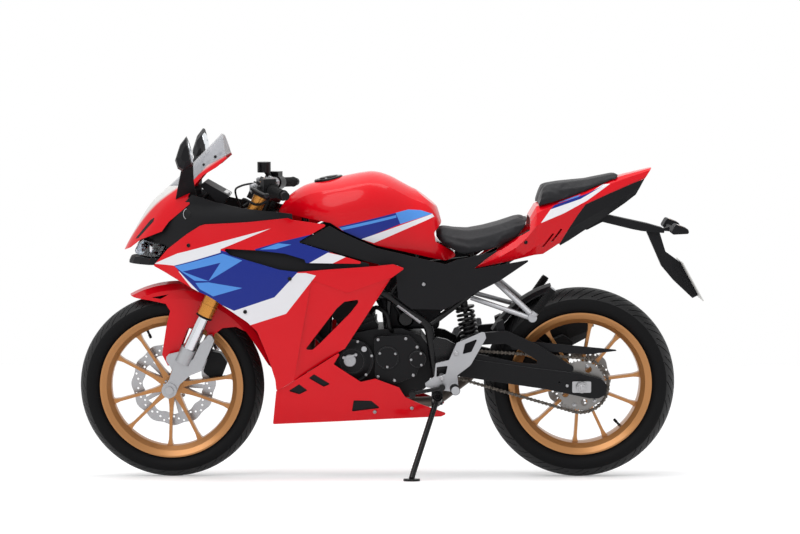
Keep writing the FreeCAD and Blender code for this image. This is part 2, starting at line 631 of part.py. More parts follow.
beam = [(894, 410), (958, 396), (1154, 368), (1307, 350), (1374, 332), (1392, 312), (1388, 282), (1366, 270),
        (1336, 270), (1200, 299), (930, 340), (890, 346), (874, 376)]
brace = [(900, 400), (926, 452), (966, 477), (1072, 486), (1170, 442), (1296, 364), (1250, 340), (1180, 350),
         (960, 380)]
brace_window = [(962, 416), (978, 440), (1066, 446), (1120, 422), (1196, 376), (1110, 384)]
arm = plate(beam, -ARM_INNER_Y - ARM_WIDTH, -ARM_INNER_Y, 10)
upper = plate(brace, -ARM_INNER_Y - ARM_WIDTH + 4, -ARM_INNER_Y - 2, 10, [brace_window], 8)
side_arm = fused(arm, upper).cut(drum(*PIVOT, 17, -130, -80))
AXLE_SLOT = 22.0
slot = plate([(WHEELBASE - AXLE_SLOT, REAR_TYRE_RADIUS + 9.5), (WHEELBASE + AXLE_SLOT,
                                                                REAR_TYRE_RADIUS + 9.5),
              (WHEELBASE + AXLE_SLOT, REAR_TYRE_RADIUS - 9.5), (WHEELBASE - AXLE_SLOT,
                                                                REAR_TYRE_RADIUS - 9.5)], -130, -80, 9)
side_arm = side_arm.cut(slot)
pivot_tube = drum(*PIVOT, 24, -ARM_INNER_Y - 6, ARM_INNER_Y + 6)
bridge = plate([(912, 400), (946, 398), (950, 356), (926, 352)], -ARM_INNER_Y, ARM_INNER_Y, 8)
shock_lugs = [plate([(926, 356), (926, 398), (968, 416), (986, 398), (950, 356)], y, y + 6,
                    4) for y in (-20.3, 14.3)]
chain_tunnel = plate([(880, 440), (1010, 432), (1010, 300), (880, 320)], CHAIN_Y - 14, CHAIN_Y + 14)
swing = fused(side_arm, mirrored(side_arm), pivot_tube, bridge.cut(chain_tunnel), *shock_lugs)
swing = swing.cut(drum(*PIVOT, 34, CHAIN_Y - 12, CHAIN_Y + 12).cut(drum(*PIVOT, 18, -200, 200)))
spool_hole = drum(*SPOOL, SPOOL_HOLE_RADIUS, -REAR_OUTER_Y, -REAR_OUTER_Y + SPOOL_HOLE_DEPTH)
swing = swing.cut(spool_hole).cut(mirrored(spool_hole))
nodes["swingarm"] = swing.cut(drum(*PIVOT, AXLE_RADIUS + BORE_CLEARANCE, -160, 160))
pivot_bolt = drum(*PIVOT, AXLE_RADIUS, -RAIL_Y - 12, RAIL_Y + 12)

adjuster = plate([(WHEELBASE - 30, REAR_TYRE_RADIUS + 18), (WHEELBASE + 30, REAR_TYRE_RADIUS + 18),
                  (WHEELBASE + 30, REAR_TYRE_RADIUS - 18), (WHEELBASE - 30, REAR_TYRE_RADIUS - 18)],
                 -REAR_OUTER_Y - 4, -REAR_OUTER_Y, 4)
nut = drum(WHEELBASE, REAR_TYRE_RADIUS, 15, -REAR_OUTER_Y - 14, -REAR_OUTER_Y - 2)
nodes["rear_axle"] = fused(
    drum(WHEELBASE, REAR_TYRE_RADIUS, AXLE_RADIUS, -REAR_OUTER_Y - 6, REAR_OUTER_Y + 6),
    adjuster, mirrored(adjuster), nut, mirrored(nut),
    drum(WHEELBASE, REAR_TYRE_RADIUS, 16, -ARM_INNER_Y, CHAIN_Y - SPROCKET_THICKNESS / 2 - 1),
    drum(WHEELBASE, REAR_TYRE_RADIUS, 13, REAR_HUB_RIGHT + DISC_THICKNESS + 1, ARM_INNER_Y))

guard = plate([(1080, 446), (1130, 452), (1420, 424), (1424, 420), (1330, 408), (1180, 420), (1090, 424)],
              -ARM_INNER_Y - 2 + GAP, -ARM_INNER_Y + 1, 3)
nodes["rear_caliper"] = fused(plate([(1250, 372), (1282, 394), (1296, 432), (1262, 452), (1222, 436),
                                     (1214, 396)], REAR_HUB_RIGHT - 14, REAR_HUB_RIGHT + 20,
                                    8).cut(drum(WHEELBASE, REAR_TYRE_RADIUS, 112, REAR_HUB_RIGHT - 1.5,
                                                REAR_HUB_RIGHT + 5.5)), plate([(1226, 338), (1262, 338),
                                                                               (1270, 396), (1236, 400)],
                                                                              REAR_HUB_RIGHT + 19,
                                                                              ARM_INNER_Y - GAP, 5))

# Engine: the case with its round covers, and the cylinder above it

CASE_HALF = 92.0
case = plate([(500, 330), (520, 290), (620, 268), (760, 275), (815, 300), (838, 350), (836, 420), (800, 470),
              (740, 492), (640, 488), (560, 470), (505, 420)], -CASE_HALF, CASE_HALF, 18)
generator = fused(drum(582, 394, 68, -CASE_HALF - 34, -CASE_HALF),
                  Part.makeCone(60, 42, 12, vec(582, -CASE_HALF - 34, 394), vec(0, -1, 0)))
sprocket_cover = plate([(652, 470), (762, 474), (792, 444), (804, 400), (784, 344), (720, 318), (655, 330)],
                       -CASE_HALF - 26, -CASE_HALF, 14)
cover_ring = fused(drum(694, 402, 36, -CASE_HALF - 32, -CASE_HALF - 26), drum(790, 398, 27, -CASE_HALF - 34,
                                                                              -CASE_HALF - 20))
clutch = fused(drum(640, 400, 84, CASE_HALF, CASE_HALF + 30),
               Part.makeCone(74, 56, 12, vec(640, CASE_HALF + 30, 400), vec(0, 1, 0)),
               plate([(520, 440), (600, 480), (720, 450), (760, 380), (700, 320), (560, 320)], CASE_HALF,
                     CASE_HALF + 22, 14))
CYLINDER_TILT = math.radians(-22)


def on_cylinder(across, up):
    """A point on the cylinder's own axes, which lean forward from the case."""
    return (610 + across * math.cos(CYLINDER_TILT) + up * math.sin(CYLINDER_TILT),
            470 - across * math.sin(CYLINDER_TILT) + up * math.cos(CYLINDER_TILT))


barrel = plate([on_cylinder(-58, -20), on_cylinder(58, -20), on_cylinder(58, 80), on_cylinder(-58, 80)], -56,
               56, 8)
fins = [plate([on_cylinder(-64, u), on_cylinder(64, u), on_cylinder(64, u + 4), on_cylinder(-64, u + 4)],
              -62, 62) for u in (24, 38, 52)]
cylinder_head = plate([on_cylinder(-66, 72), on_cylinder(66, 72), on_cylinder(60, 134),
                       on_cylinder(-54, 140)], -72, 72, 12)
front_sprocket = toothed_wheel(*FRONT_SPROCKET, FRONT_SPROCKET_PITCH_RADIUS, SPROCKET_THICKNESS, CHAIN_Y, 8)
chain_room = plate([(740, 445), (900, 445), (900, 300), (740, 352)], CHAIN_Y - 12, CHAIN_Y + 12)
shaft = drum(*FRONT_SPROCKET, 10, -CASE_HALF - 10, -50)
engine = fused(case.cut(chain_room), generator, sprocket_cover, cover_ring, clutch, barrel, *fins,
               cylinder_head)
engine = fused(engine, shaft, front_sprocket)
nodes["engine"] = engine

# Radiator behind the front wheel

radiator = plate([(352, 606), (384, 614), (412, 400), (380, 392)], -150, 150, 6)
tanks = plate([(346, 610), (390, 620), (418, 396), (374, 386)], -162, -150, 8)
nodes["radiator"] = fused(radiator, tanks, mirrored(tanks))

# Exhaust: the header leaves the front of the head, runs under the case and ends in the silencer

header_start = on_cylinder(-66, 104)
header = bent_tube([vec(header_start[0] + 2, 20, header_start[1]), vec(448, 24, 560), vec(440, 30, 380),
                    vec(470, 40, 244), vec(560, 60, 226), vec(850, 96, 226), vec(960, 156, 300),
                    vec(1060, 172, 395)], 17, 50)
silencer_axis = (vec(1350, 176, 478) - vec(1040, 172, 392)).normalize()


def silencer_ring(along, high, wide, slant):
    centre = vec(1040, 172, 392) + silencer_axis * along
    lift = vec(-silencer_axis.z, 0, silencer_axis.x)
    corners = []
    shape = ((-0.55, -1), (0.55, -1), (1, -0.3), (0.9, 0.6), (0.4, 1), (-0.5, 1), (-1, 0.5), (-1, -0.5))
    for dy, dz in shape:
        corners.append(centre + lift * (dz * high) + vec(0, dy * wide, 0) + silencer_axis * (slant * dz))
    return Part.makePolygon(corners + corners[:1])


silencer = Part.makeLoft([silencer_ring(0, 24, 22, 0), silencer_ring(48, 52, 42, 0),
                          silencer_ring(250, 60, 46, 6), silencer_ring(322, 46, 40, 14)], True, True)
outlet = bar(vec(1040, 172, 392) + silencer_axis * 290, vec(1040, 172, 392) + silencer_axis * 340, 20)
outlet_bore = bar(vec(1040, 172, 392) + silencer_axis * 300, vec(1040, 172, 392) + silencer_axis * 345, 17)
exhaust = fused(header, silencer, outlet).cut(outlet_bore)
exhaust = exhaust.cut(engine).cut(engine.translated(vec(-GAP, 0, GAP / 3)))
exhaust = max(exhaust.Solids, key=lambda solid: solid.Volume)

# Fuel tank: one swelling form cut to its side outline

TANK_TOP = [(345, 872), (377, 907), (410, 937), (531, 971), (647, 987), (680, 983), (769, 940), (857, 873),
            (930, 810)]
TANK_HALF_WIDTH = [(345, 50), (380, 66), (410, 96), (450, 128), (500, 150), (570, 160), (650, 154),
                   (740, 128), (810, 108), (880, 98), (940, 96)]


def tank_ring(x):
    """A cross-section of the tank: a domed top, a steep shoulder and a belly, with a crease between each."""
    top = curve_value(TANK_TOP, x)
    half = curve_value(TANK_HALF_WIDTH, x)
    low = 690.0

    def at(side, share, z):
        return vec(x, side * share * half, z)
    edges = []
    for side in (-1, 1):
        edges.append(Part.Arc(at(side, 0.76, top - 30), at(side, 0.93, top - 68),
                              at(side, 1.0, top - 118)).toShape())
        edges.append(Part.Arc(at(side, 1.0, top - 118), at(side, 0.97, (top + low) / 2 - 50),
                              at(side, 0.8, low)).toShape())
    edges.append(Part.Arc(at(-1, 0.76, top - 30), at(1, 0, top), at(1, 0.76, top - 30)).toShape())
    edges.append(Part.makeLine(at(-1, 0.8, low), at(1, 0.8, low)))
    return Part.Wire(Part.__sortEdges__(edges))


tank_side = [(345, 858), (352, 872), (377, 907), (410, 937), (531, 971), (647, 988), (682, 983), (769, 941),
             (853, 874), (866, 828), (842, 800), (846, 770), (922, 722), (878, 708), (763, 736), (659, 762),
             (551, 811), (516, 834), (398, 852)]
tank = Part.makeLoft([tank_ring(x) for x in (340, 380, 430, 500, 580, 650, 710, 780, 850, 935)], True)
steering_recess = Part.makeCylinder(math.hypot(YOKE_REAR, YOKE_REAR_HALF) + STEER_CLEARANCE, 260,
                                    fork(UPPER_YOKE - 80, -YOKE_OFFSET), UP)
nodes["fuel_tank"] = tank.common(plate(tank_side, -200, 200, 12)).cut(steering_recess)

# Rider's seat and passenger's pad, as plain soft solids

SEAT_TOP = [(835, 800), (863, 815), (905, 806), (948, 802), (1025, 815), (1097, 841), (1149, 852),
            (1170, 852)]
SEAT_HALF_WIDTH = [(835, 62), (880, 88), (950, 124), (1040, 132), (1110, 112), (1170, 84)]


def seat_ring(x, top, half, low):
    right = [(0.0, top), (0.6 * half, top - 3), (0.92 * half, top - 18), (half, top - 44),
             (0.94 * half, low)]
    corners = [vec(x, y, z) for y, z in right] + [vec(x, -y, z) for y, z in right[:0:-1]]
    return Part.makePolygon(corners + corners[:1])


seat = Part.makeLoft([seat_ring(x, curve_value(SEAT_TOP, x), curve_value(SEAT_HALF_WIDTH, x), 700.0)
                      for x in (838, 863, 905, 950, 1000, 1050, 1100, 1140, 1164)], True, True)
seat_side = [(842, 792), (863, 815), (905, 807), (948, 803), (1025, 816), (1097, 842), (1149, 850),
             (1161, 843), (1136, 804), (1060, 766), (1019, 744), (941, 728), (918, 730), (873, 756)]
seat = seat.common(plate(seat_side, -150, 150, 5))
seat = seat.cut(nodes["fuel_tank"]).cut(nodes["fuel_tank"].translated(vec(2, 0, 0)))

# Tail: a hollow red shell over a black undertray

TAIL_TOP = [(940, 700), (1056, 757), (1120, 800), (1150, 856), (1165, 880), (1215, 903), (1300, 932),
            (1431, 974), (1540, 1001)]
TAIL_LOW = [(940, 640), (1056, 680), (1160, 712), (1243, 752), (1383, 842), (1476, 905), (1540, 960)]
TAIL_HALF_WIDTH = [(940, 132), (1040, 138), (1120, 126), (1200, 108), (1300, 88), (1400, 70), (1480, 54),
                   (1540, 34)]


def tail_ring(x, inset):
    top = curve_value(TAIL_TOP, x) - inset
    low = curve_value(TAIL_LOW, x) + inset
    half = curve_value(TAIL_HALF_WIDTH, x) - inset
    height = top - low
    right = [(0.0, top), (0.62 * half, top - 1), (0.9 * half, top - 0.12 * height),
             (half, top - 0.35 * height), (0.86 * half, low + 0.25 * height), (0.6 * half, low)]
    corners = [vec(x, y, z) for y, z in right] + [vec(x, -y, z) for y, z in right[:0:-1]]
    return Part.makePolygon(corners + corners[:1])


tail_stations = (945, 1000, 1056, 1100, 1135, 1165, 1215, 1270, 1330, 1390, 1450, 1500, 1538)
tail_outer = Part.makeLoft([tail_ring(x, 0) for x in tail_stations], True, True)
tail_inner = Part.makeLoft([tail_ring(x, WALL) for x in tail_stations], True, True)
tail_shell = tail_outer.cut(tail_inner)
red_side = [(1535, 1000), (1431, 974), (1300, 934), (1215, 905), (1163, 880), (1146, 850), (1143, 806),
            (1062, 762), (968, 688), (1160, 726), (1188, 728), (1243, 764), (1266, 806), (1296, 853),
            (1321, 887), (1389, 917), (1470, 951), (1512, 966)]
black_side = [(1243.4, 748), (1243.4, 763.6), (1266.4, 805.7), (1296.4, 852.7), (1321.3, 886.5),
              (1389.2, 916.4), (1470.2, 950.4), (1511, 965.2), (1502, 948), (1478, 900), (1383, 834),
              (1300, 780)]
tail_slots = [[(1183, 752), (1190, 752), (1222, 794), (1216, 796)], [(1211, 768), (1218, 768), (1248, 808),
                                                                     (1242, 810)]]
seat = seat.cut(tail_outer).cut(tail_outer.translated(vec(0, 0, GAP)))
nodes["rider_seat"] = max(seat.Solids, key=lambda solid: solid.Volume)
nodes["tail_cowl"] = tail_shell.common(plate(red_side, -200, 200, 0, tail_slots))
nodes["tail_undertray"] = tail_shell.common(plate(black_side, -200, 200))

pad_side = [(1166, 876), (1188, 944), (1211, 950), (1330, 962), (1428, 984), (1438, 980), (1428, 962),
            (1300, 920), (1215, 890)]
PAD_HALF_WIDTH = [(1160, 92), (1220, 102), (1320, 86), (1440, 58)]
pad = Part.makeLoft([seat_ring(x, curve_value([(1160, 938), (1211, 952), (1330, 964), (1440, 988)], x),
                               curve_value(PAD_HALF_WIDTH, x), 870.0) for x in (1164, 1200, 1240, 1320, 1380,
                                                                                1437)], True, True)
pad = pad.common(plate(pad_side, -150, 150, 3))
pad = pad.cut(tail_outer).cut(tail_outer.translated(vec(0, 0, GAP)))
nodes["passenger_seat"] = max(pad.Solids, key=lambda solid: solid.Volume)

# Side cowls: shells that follow one flank form, cut to their outlines

FLANK_BY_HEIGHT = [(150, 0.54), (190, 0.60), (260, 0.72), (350, 0.84), (450, 0.93), (550, 0.985), (650, 1.0),
                   (720, 0.985), (780, 0.93), (830, 0.86), (900, 0.76)]
FLANK_BY_LENGTH = [(-90, 0.30), (-60, 0.42), (0, 0.64), (60, 0.84), (110, 0.94), (180, 0.985), (260, 1.0),
                   (400, 1.0), (550, 0.97), (700, 0.90), (900, 0.80)]


def flank(x, z):
    """Half width of the fairing at a point of the side view."""
    return COWL_HALF_WIDTH * curve_value(FLANK_BY_HEIGHT, z) * curve_value(FLANK_BY_LENGTH, x)


KNEE_CREASE = [(458, 660), (570, 618), (705, 664)]
KNEE_CORNER = (400, 337)
KNEE_DEPTH = 15.0
KNEE_SLOPE = 0.24


def knee_recess(x, z):
    """How far the panel below the knee's crease sinks in from the flank."""
    (ax, az), (mx, mz), (bx, bz) = KNEE_CREASE
    crease = mz + (az - mz) * (x - mx) / (ax - mx) if x < mx else mz + (bz - mz) * (x - mx) / (bx - mx)
    edge = ax + (KNEE_CORNER[0] - ax) * (z - az) / (KNEE_CORNER[1] - az)
    below = 1 - math.exp(-KNEE_SLOPE * (crease - z) / KNEE_DEPTH)
    behind = 1 - math.exp((edge - x) / 28)
    return KNEE_DEPTH * below * behind


def flank_wall(x_low, x_high, z_low, z_high, columns, rows, lift=0.0, sink=None):
    """A wall of the left flank, growing inwards from the form."""
    grid = [[vec(x, (sink(x, z) if sink else 0.0) - flank(x, z) - lift,
                 z) for z in stations(z_low, z_high, rows)] for x in stations(x_low, x_high, columns)]
    wall = thick(skin(grid), WALL)
    if wall.BoundBox.YMin < min(p.y for row in grid for p in row) - 1:
        wall = thick(skin(grid), -WALL)
    return wall


side_outline = [(-46, 695), (1, 749), (65, 799), (107, 826), (123, 831), (254, 838), (382, 851), (396, 846),
                (508, 830), (414, 777), (636, 709), (440, 713), (436, 724), (375, 742), (291, 752),
                (190, 757), (186, 752), (204, 737), (358, 692), (415, 685), (516, 693), (633, 700),
                (712, 707), (749, 694), (705, 663), (560, 438), (551, 434), (369, 317), (344, 304),
                (341, 339), (326, 392), (304, 453), (286, 497), (256, 527), (160, 593), (132, 610),
                (103, 622)]
side_vent = [(436, 437), (536, 569), (560, 590), (603, 596), (602, 585), (578, 554), (482, 456), (459, 436)]
lower_outline = [(343.3, 303.2), (369.6, 316.4), (551, 433.4), (525, 390), (610, 331), (655, 341),
                 (731, 311), (750, 279), (801, 254), (884, 222), (865, 212), (734, 207), (330, 190)]
lower_vents = [[(381, 302), (416, 325), (442, 304), (416, 291)], [(446, 345), (463, 358), (514, 325),
                                                                  (493, 316)], [(587, 270), (643, 268),
                                                                                (671, 243), (581, 232)]]
side_wall = flank_wall(-80, 780, 280, 870, 15, 12)
lower_wall = flank_wall(310, 910, 170, 450, 9, 7)
knee_wall = flank_wall(385, 735, 310, 690, 12, 12, 0.0, knee_recess)
knee_area = plate(KNEE_CREASE + [(560, 436), (551, 425), (500, 380), KNEE_CORNER], -300, 0)
side_cowl = side_wall.cut(knee_area).fuse(knee_wall.common(knee_area))
side_cowl = side_cowl.common(plate(side_outline, -300, 0, 4, [side_vent], 4)).removeSplitter()
lower_cowl = lower_wall.common(plate(lower_outline, -300, 0, 4, lower_vents, 3))
nodes["side_cowls"] = both(side_cowl)
nodes["lower_cowls"] = both(lower_cowl)

cover_outline = [(513, 826), (420, 777), (640, 712), (720, 690), (728, 596), (770, 561), (872, 558),
                 (909, 578), (1048, 650), (1148, 716), (1060, 702), (958, 686), (1052, 752), (1016, 738),
                 (941, 722), (916, 718), (878, 702), (763, 730), (659, 756), (551, 805)]
COVER_HALF_WIDTH = [(400, 196), (513, 186), (640, 172), (760, 152), (900, 142), (1040, 142), (1160, 126)]


def cover_wall():
    grid = []
    for x in stations(390, 1170, 12):
        half = curve_value(COVER_HALF_WIDTH, x)
        grid.append([vec(x, -half * share, z) for z, share in
                     ((540, 0.93), (600, 0.97), (660, 1.0), (720, 1.0), (780, 0.97), (840, 0.92))])
    wall = thick(skin(grid), WALL)
    if wall.BoundBox.YMin < -COVER_HALF_WIDTH[0][1] - 1:
        wall = thick(skin(grid), -WALL)
    return wall


side_cover = cover_wall().common(plate(cover_outline, -300, 0, 3))
nodes["side_covers"] = both(side_cover)

# Nose: the beak, the lamps under it, the screen, and black panels inside

NOSE_SWEEP = 0.0068
NOSE_LINE = [(700, -156), (743, -147), (803, -115), (860, -81), (898, -53), (932, -15), (952, 8), (980, 40),
             (1038, 96), (1106, 163), (1130, 186)]


def nose_wall(line, sweep, z_low, z_high, half, rows, depth=0.0):
    """A wall whose level curves are parabolas round the nose."""
    grid = [[vec(curve_value(line, z) + depth + sweep * y * y, y, z) for y in stations(-half, half, 9)]
            for z in stations(z_low, z_high, rows)]
    wall = thick(skin(grid), WALL)
    front = min(p.x for row in grid for p in row)
    if wall.BoundBox.XMin < front - 1:
        wall = thick(skin(grid), -WALL)
    return wall


nose_form = nose_wall(NOSE_LINE, NOSE_SWEEP, 715, 1130, 150, 13)
cowl_outline = [(-150, 736), (-123, 748), (-88, 775), (-17, 804), (5, 834), (73, 892), (67, 915), (84, 946),
                (112, 979), (158, 1007), (189, 1034), (186, 1042), (128, 1012), (66, 948), (20, 944),
                (-15, 940), (-60, 905), (-160, 780)]
screen_outline = [(-15, 940.5), (20, 944.5), (65.6, 948.5), (127.6, 1012.5), (185.6, 1042.5), (172, 1100),
                  (163, 1108), (20, 985), (-30, 950)]
nodes["front_cowl"] = nose_form.common(plate(cowl_outline, -200, 200))
nodes["windscreen"] = nose_form.common(plate(screen_outline, -200, 200))

# Lamps, chin and black panels of the nose


def nose_block(line, sweep, z_low, z_high, half, deep):
    """A solid between a nose form and the same form set back by the given depth."""
    def ring(z, shift_x):
        return [vec(curve_value(line, z) + shift_x + sweep * y * y, y, z) for y in stations(-half, half, 9)]
    wires = []
    for z in stations(z_low, z_high, 4):
        front = ring(z, 0.0)
        back = ring(z, deep)
        wires.append(Part.makePolygon(front + back[::-1] + front[:1]))
    return Part.makeLoft(wires, True, True)


LAMP_LINE = [(690, -134), (727, -124), (760, -104), (790, -84)]
lamp_block = nose_block(LAMP_LINE, NOSE_SWEEP, 716, 786, 118, 34.0)
lamp_side = [(-116, 744), (-84, 770), (-30, 762), (-8, 757), (-24, 730), (-42, 720), (-110, 728)]
lamp = lamp_block.common(plate(lamp_side, -126, -16, 3))
nodes["headlights"] = both(lamp)

chin_block = nose_block([(690, -136), (705, -134), (720, -126)], NOSE_SWEEP, 696, 718, 104, 60.0)
panel_grid = []
for x in stations(-100, 400, 12):
    row = []
    for z in stations(700, 930, 9):
        row.append(vec(x, -(flank(x, min(z, 820)) - 7 - 0.3 * max(z - 840, 0)), z))
    panel_grid.append(row)
panel = thick(skin(panel_grid), WALL)
if panel.BoundBox.YMin < min(p.y for row in panel_grid for p in row) - 1:
    panel = thick(skin(panel_grid), -WALL)
panel_side = [(-72, 786), (-28, 814), (-6, 842), (60, 900), (82, 922), (150, 900), (240, 880), (396, 864),
              (398, 840), (254, 829), (126, 821), (108, 816), (70, 790), (10, 744), (-2, 757), (-22, 766)]
lamp_back = nose_block([(z, x + 34 + GAP) for z, x in LAMP_LINE], NOSE_SWEEP, 716, 786, 118, 14.0)
lamp_back = lamp_back.common(plate([(-150, 716), (100, 716), (100, 762), (-150, 776)], -108, 108))
brow_side = [(-124, 746), (-116, 745), (-84, 771), (-30, 763), (-14, 759.5), (-16, 786), (-44, 797),
             (-92, 797), (-112, 774)]
brow = nose_block(LAMP_LINE, NOSE_SWEEP, 740, 798, 104, 36.0).common(plate(brow_side, -104, 104))
housing = fused(chin_block, lamp_back, brow)
inner_panel = panel.common(plate(panel_side, -300, 0, 3))
for nudge in (vec(0, 0, 0), vec(0.7, 0.9, 0)):
    for neighbour in (nodes["front_cowl"], housing, side_cowl):
        inner_panel = inner_panel.cut(neighbour.translated(nudge))
inner_panel = max(inner_panel.Solids, key=lambda solid: solid.Volume)

# Black liners that close the view through the cowls' openings

LINER_DEPTH = 16.0
side_liner_outline = [(166, 770), (200, 782), (300, 778), (390, 766), (452, 748), (470, 738), (600, 718),
                      (636, 708), (640, 684), (516, 668), (415, 658), (346, 664), (190, 712), (164, 740)]
side_liner = flank_wall(140, 680, 630, 810, 10, 6,
                        -LINER_DEPTH).common(plate(side_liner_outline, -300, 0, 4))
for x, z in ((250, 769), (420, 668), (580, 683)):
    root = vec(x, LINER_DEPTH + 2 - flank(x, z), z)
    side_liner = side_liner.fuse(posted(root, vec(x, -flank(x, z), z), 4, side_cowl))
front_liner_outline = [(364, 298), (374, 308), (420, 336), (440, 351), (466, 365), (528, 328), (500, 306),
                       (430, 281), (372, 288)]
rear_liner_outline = [(570, 277), (650, 277), (684, 240), (570, 223)]
low_liner = flank_wall(310, 910, 170, 450, 9, 7, -WALL - 2 * GAP)
nodes["front_inner_panels"] = Part.makeCompound(
    [inner_panel, mirrored(inner_panel), housing, both(side_liner.removeSplitter()),
     both(low_liner.common(plate(front_liner_outline, -300, 0))),
     both(low_liner.common(plate(rear_liner_outline, -300, 0)))])

# Mirrors on their arms

MIRROR_SECTION = [(80, 1112), (60, 1086), (44, 1038), (52, 1012), (68, 1003), (97, 1022), (92, 1070)]


def mirror_ring(y, scale, rise, back):
    cx, cz = 72.0, 1052.0
    corners = [vec(cx + (x - cx) * scale + back, y, cz + (z - cz) * scale + rise) for x,
               z in MIRROR_SECTION]
    return Part.makePolygon(corners + corners[:1])


mirror_head = Part.makeLoft([mirror_ring(-196, 0.45, -26, 4), mirror_ring(-222, 0.82, -8, 2),
                             mirror_ring(-290, 1.0, 0, 0), mirror_ring(-336, 0.86, 4, 4),
                             mirror_ring(-352, 0.5, 8, 10)], True, True)


def arm_ring(y, x0, x1, z0, z1):
    corners = [vec(x0, y, z0), vec(x1, y, z0 + 10), vec(x1 - 2, y, z1 + 8), vec(x0 + 3, y, z1)]
    return Part.makePolygon(corners + corners[:1])


mirror_arm = Part.makeLoft([arm_ring(-98, 24, 92, 896, 914), arm_ring(-150, 40, 88, 956, 972),
                            arm_ring(-208, 58, 92, 1016, 1034)], True, True)
mirror = fused(mirror_head, mirror_arm)
for nudge in (vec(0, 0, 0), vec(-0.5, -0.7, 0.5) * GAP):
    mirror = mirror.cut(nodes["front_cowl"].translated(nudge))
mirror = max(mirror.Solids, key=lambda solid: solid.Volume)
nodes["mirrors"] = both(mirror)

instrument = plate([(100, 946), (114, 958), (192, 914), (176, 888), (152, 896)], -78, 78, 4)
nodes["instrument_panel"] = instrument

# Tail end: lamp, plate carrier, indicators and plate

nodes["tail_lamp"] = tail_inner.common(plate([(1446, 938), (1496, 952), (1478, 918), (1444, 900)], -200,
                                             200))
carrier_arm = plate([(1300, 818), (1345, 822), (1389, 850), (1526, 820), (1575, 806), (1580, 790),
                     (1505, 797), (1474, 803), (1380, 826), (1330, 800)], -24, 24, 4)
carrier_leg = plate([(1520, 800), (1560, 806), (1584, 730), (1631, 696.4), (1662, 640), (1690, 589),
                     (1672, 580), (1612, 636), (1572, 683)], -12, 12)
indicator_bar = drum(1600, 806, 6, -118, 118)
indicators = [plate([(1580, 796), (1599, 829), (1638, 814), (1642, 799)], y0, y1, 8) for y0,
              y1 in ((-150, -84), (84, 150))]
bracket = plate([(1560, 798), (1600, 812), (1612, 806), (1604, 794)], -12, 12)
carrier_arm = carrier_arm.cut(tail_outer).cut(tail_outer.translated(vec(0, 0, -GAP)))
carrier_arm = max(carrier_arm.Solids, key=lambda solid: solid.Volume)
nodes["plate_carrier"] = fused(carrier_arm, carrier_leg, indicator_bar, bracket, *indicators)
nodes["number_plate"] = plate([(1629.6, 699.8), (1632.2, 701.2), (1699, 580), (1696.4, 578.6)], -85, 85)

# Footrests and levers

hanger_side = [(1000, 491), (1004, 474), (958, 392), (951, 384), (914, 356), (918, 312), (896, 304),
               (868, 308), (816, 318), (812, 330), (842, 352), (846, 394), (888, 404), (912, 458),
               (990, 492)]
hanger_holes = [[(849, 382), (884, 386), (878, 360), (848, 350)], [(938, 456), (978, 472), (958, 430),
                                                                   (930, 422)]]
hanger = plate(hanger_side, -184, -176, 4, hanger_holes, 3)
hanger_posts = [drum(910, 425, 9, -176, -RAIL_Y - 12 - GAP), drum(866, 345, 9, -176, -RAIL_Y - 12 - GAP)]
peg_root = drum(903, 319, 14, -200, -184)
peg = bar(vec(903, -200, 319), vec(906, -286, 323), 13)
hanger = fused(hanger, *hanger_posts, peg_root, peg)
nodes["footrest_hangers"] = both(hanger)

lever_left = bent_tube([vec(866, -200, 320), vec(830, -204, 312), vec(769, -214, 303)], 6, 20)
lever_left = fused(lever_left, bar(vec(772, -210, 303), vec(772, -258, 304), 9),
                   drum(866, 320, 10, -206, -184 - GAP))
lever_right = bent_tube([vec(866, 200, 320), vec(820, 202, 300), vec(760, 208, 286), vec(700, 220, 290)], 6,
                        20)
lever_right = fused(lever_right, plate([(690, 284), (730, 284), (730, 298), (690, 298)], 200, 262, 3),
                    drum(866, 320, 10, 184 + GAP, 206))
nodes["foot_levers"] = Part.makeCompound([lever_left, lever_right])

rest_arm_a = bar(vec(1026, -78, 652), vec(1152, -150, 541), 9)
rest_arm_b = bar(vec(960, -84, 590), vec(1150, -148, 531), 8)
rest_peg = fused(drum(1150, 536, 14, -172, -140), bar(vec(1153, -166, 544), vec(1214, -176, 630), 11))
footrest = fused(rest_arm_a, rest_arm_b, rest_peg)
footrest = footrest.cut(main_frame).cut(main_frame.translated(vec(0, -GAP, 0)))
nodes["passenger_footrests"] = both(max(footrest.Solids, key=lambda solid: solid.Volume))

# Shock absorber on the middle line, with its spring

shock_top, shock_low = vec(930, 0, 612), vec(968, 0, 398)
shock_line = (shock_top - shock_low).normalize()
shock_length = (shock_top - shock_low).Length
profile = [(0.0, 0.0), (13.0, 0.0), (13.0, 44.0), (33.0, 44.0), (33.0, 50.0)]
for turn in range(6):
    at = 50.0 + 16.5 * turn
    profile += [(24.0, at + 1), (28.5, at + 4), (31.0, at + 8), (28.5, at + 12), (24.0, at + 15.5)]
profile += [(33.0, 150.0), (33.0, 158.0), (13.0, 158.0), (13.0, shock_length), (0.0, shock_length)]
aside = vec(shock_line.z, 0, -shock_line.x)
corners = [shock_low + shock_line * along + aside * out for out, along in profile]
coils = Part.Face(Part.makePolygon(corners + corners[:1])).revolve(shock_low, shock_line, 360)
nodes["shock_absorber"] = fused(coils, drum(shock_low.x, shock_low.z, 17, -14, 14),
                                drum(shock_top.x, shock_top.z, 17, -14, 14))

# Rear mudguards: a hugger on the swingarm and the blade over the chain

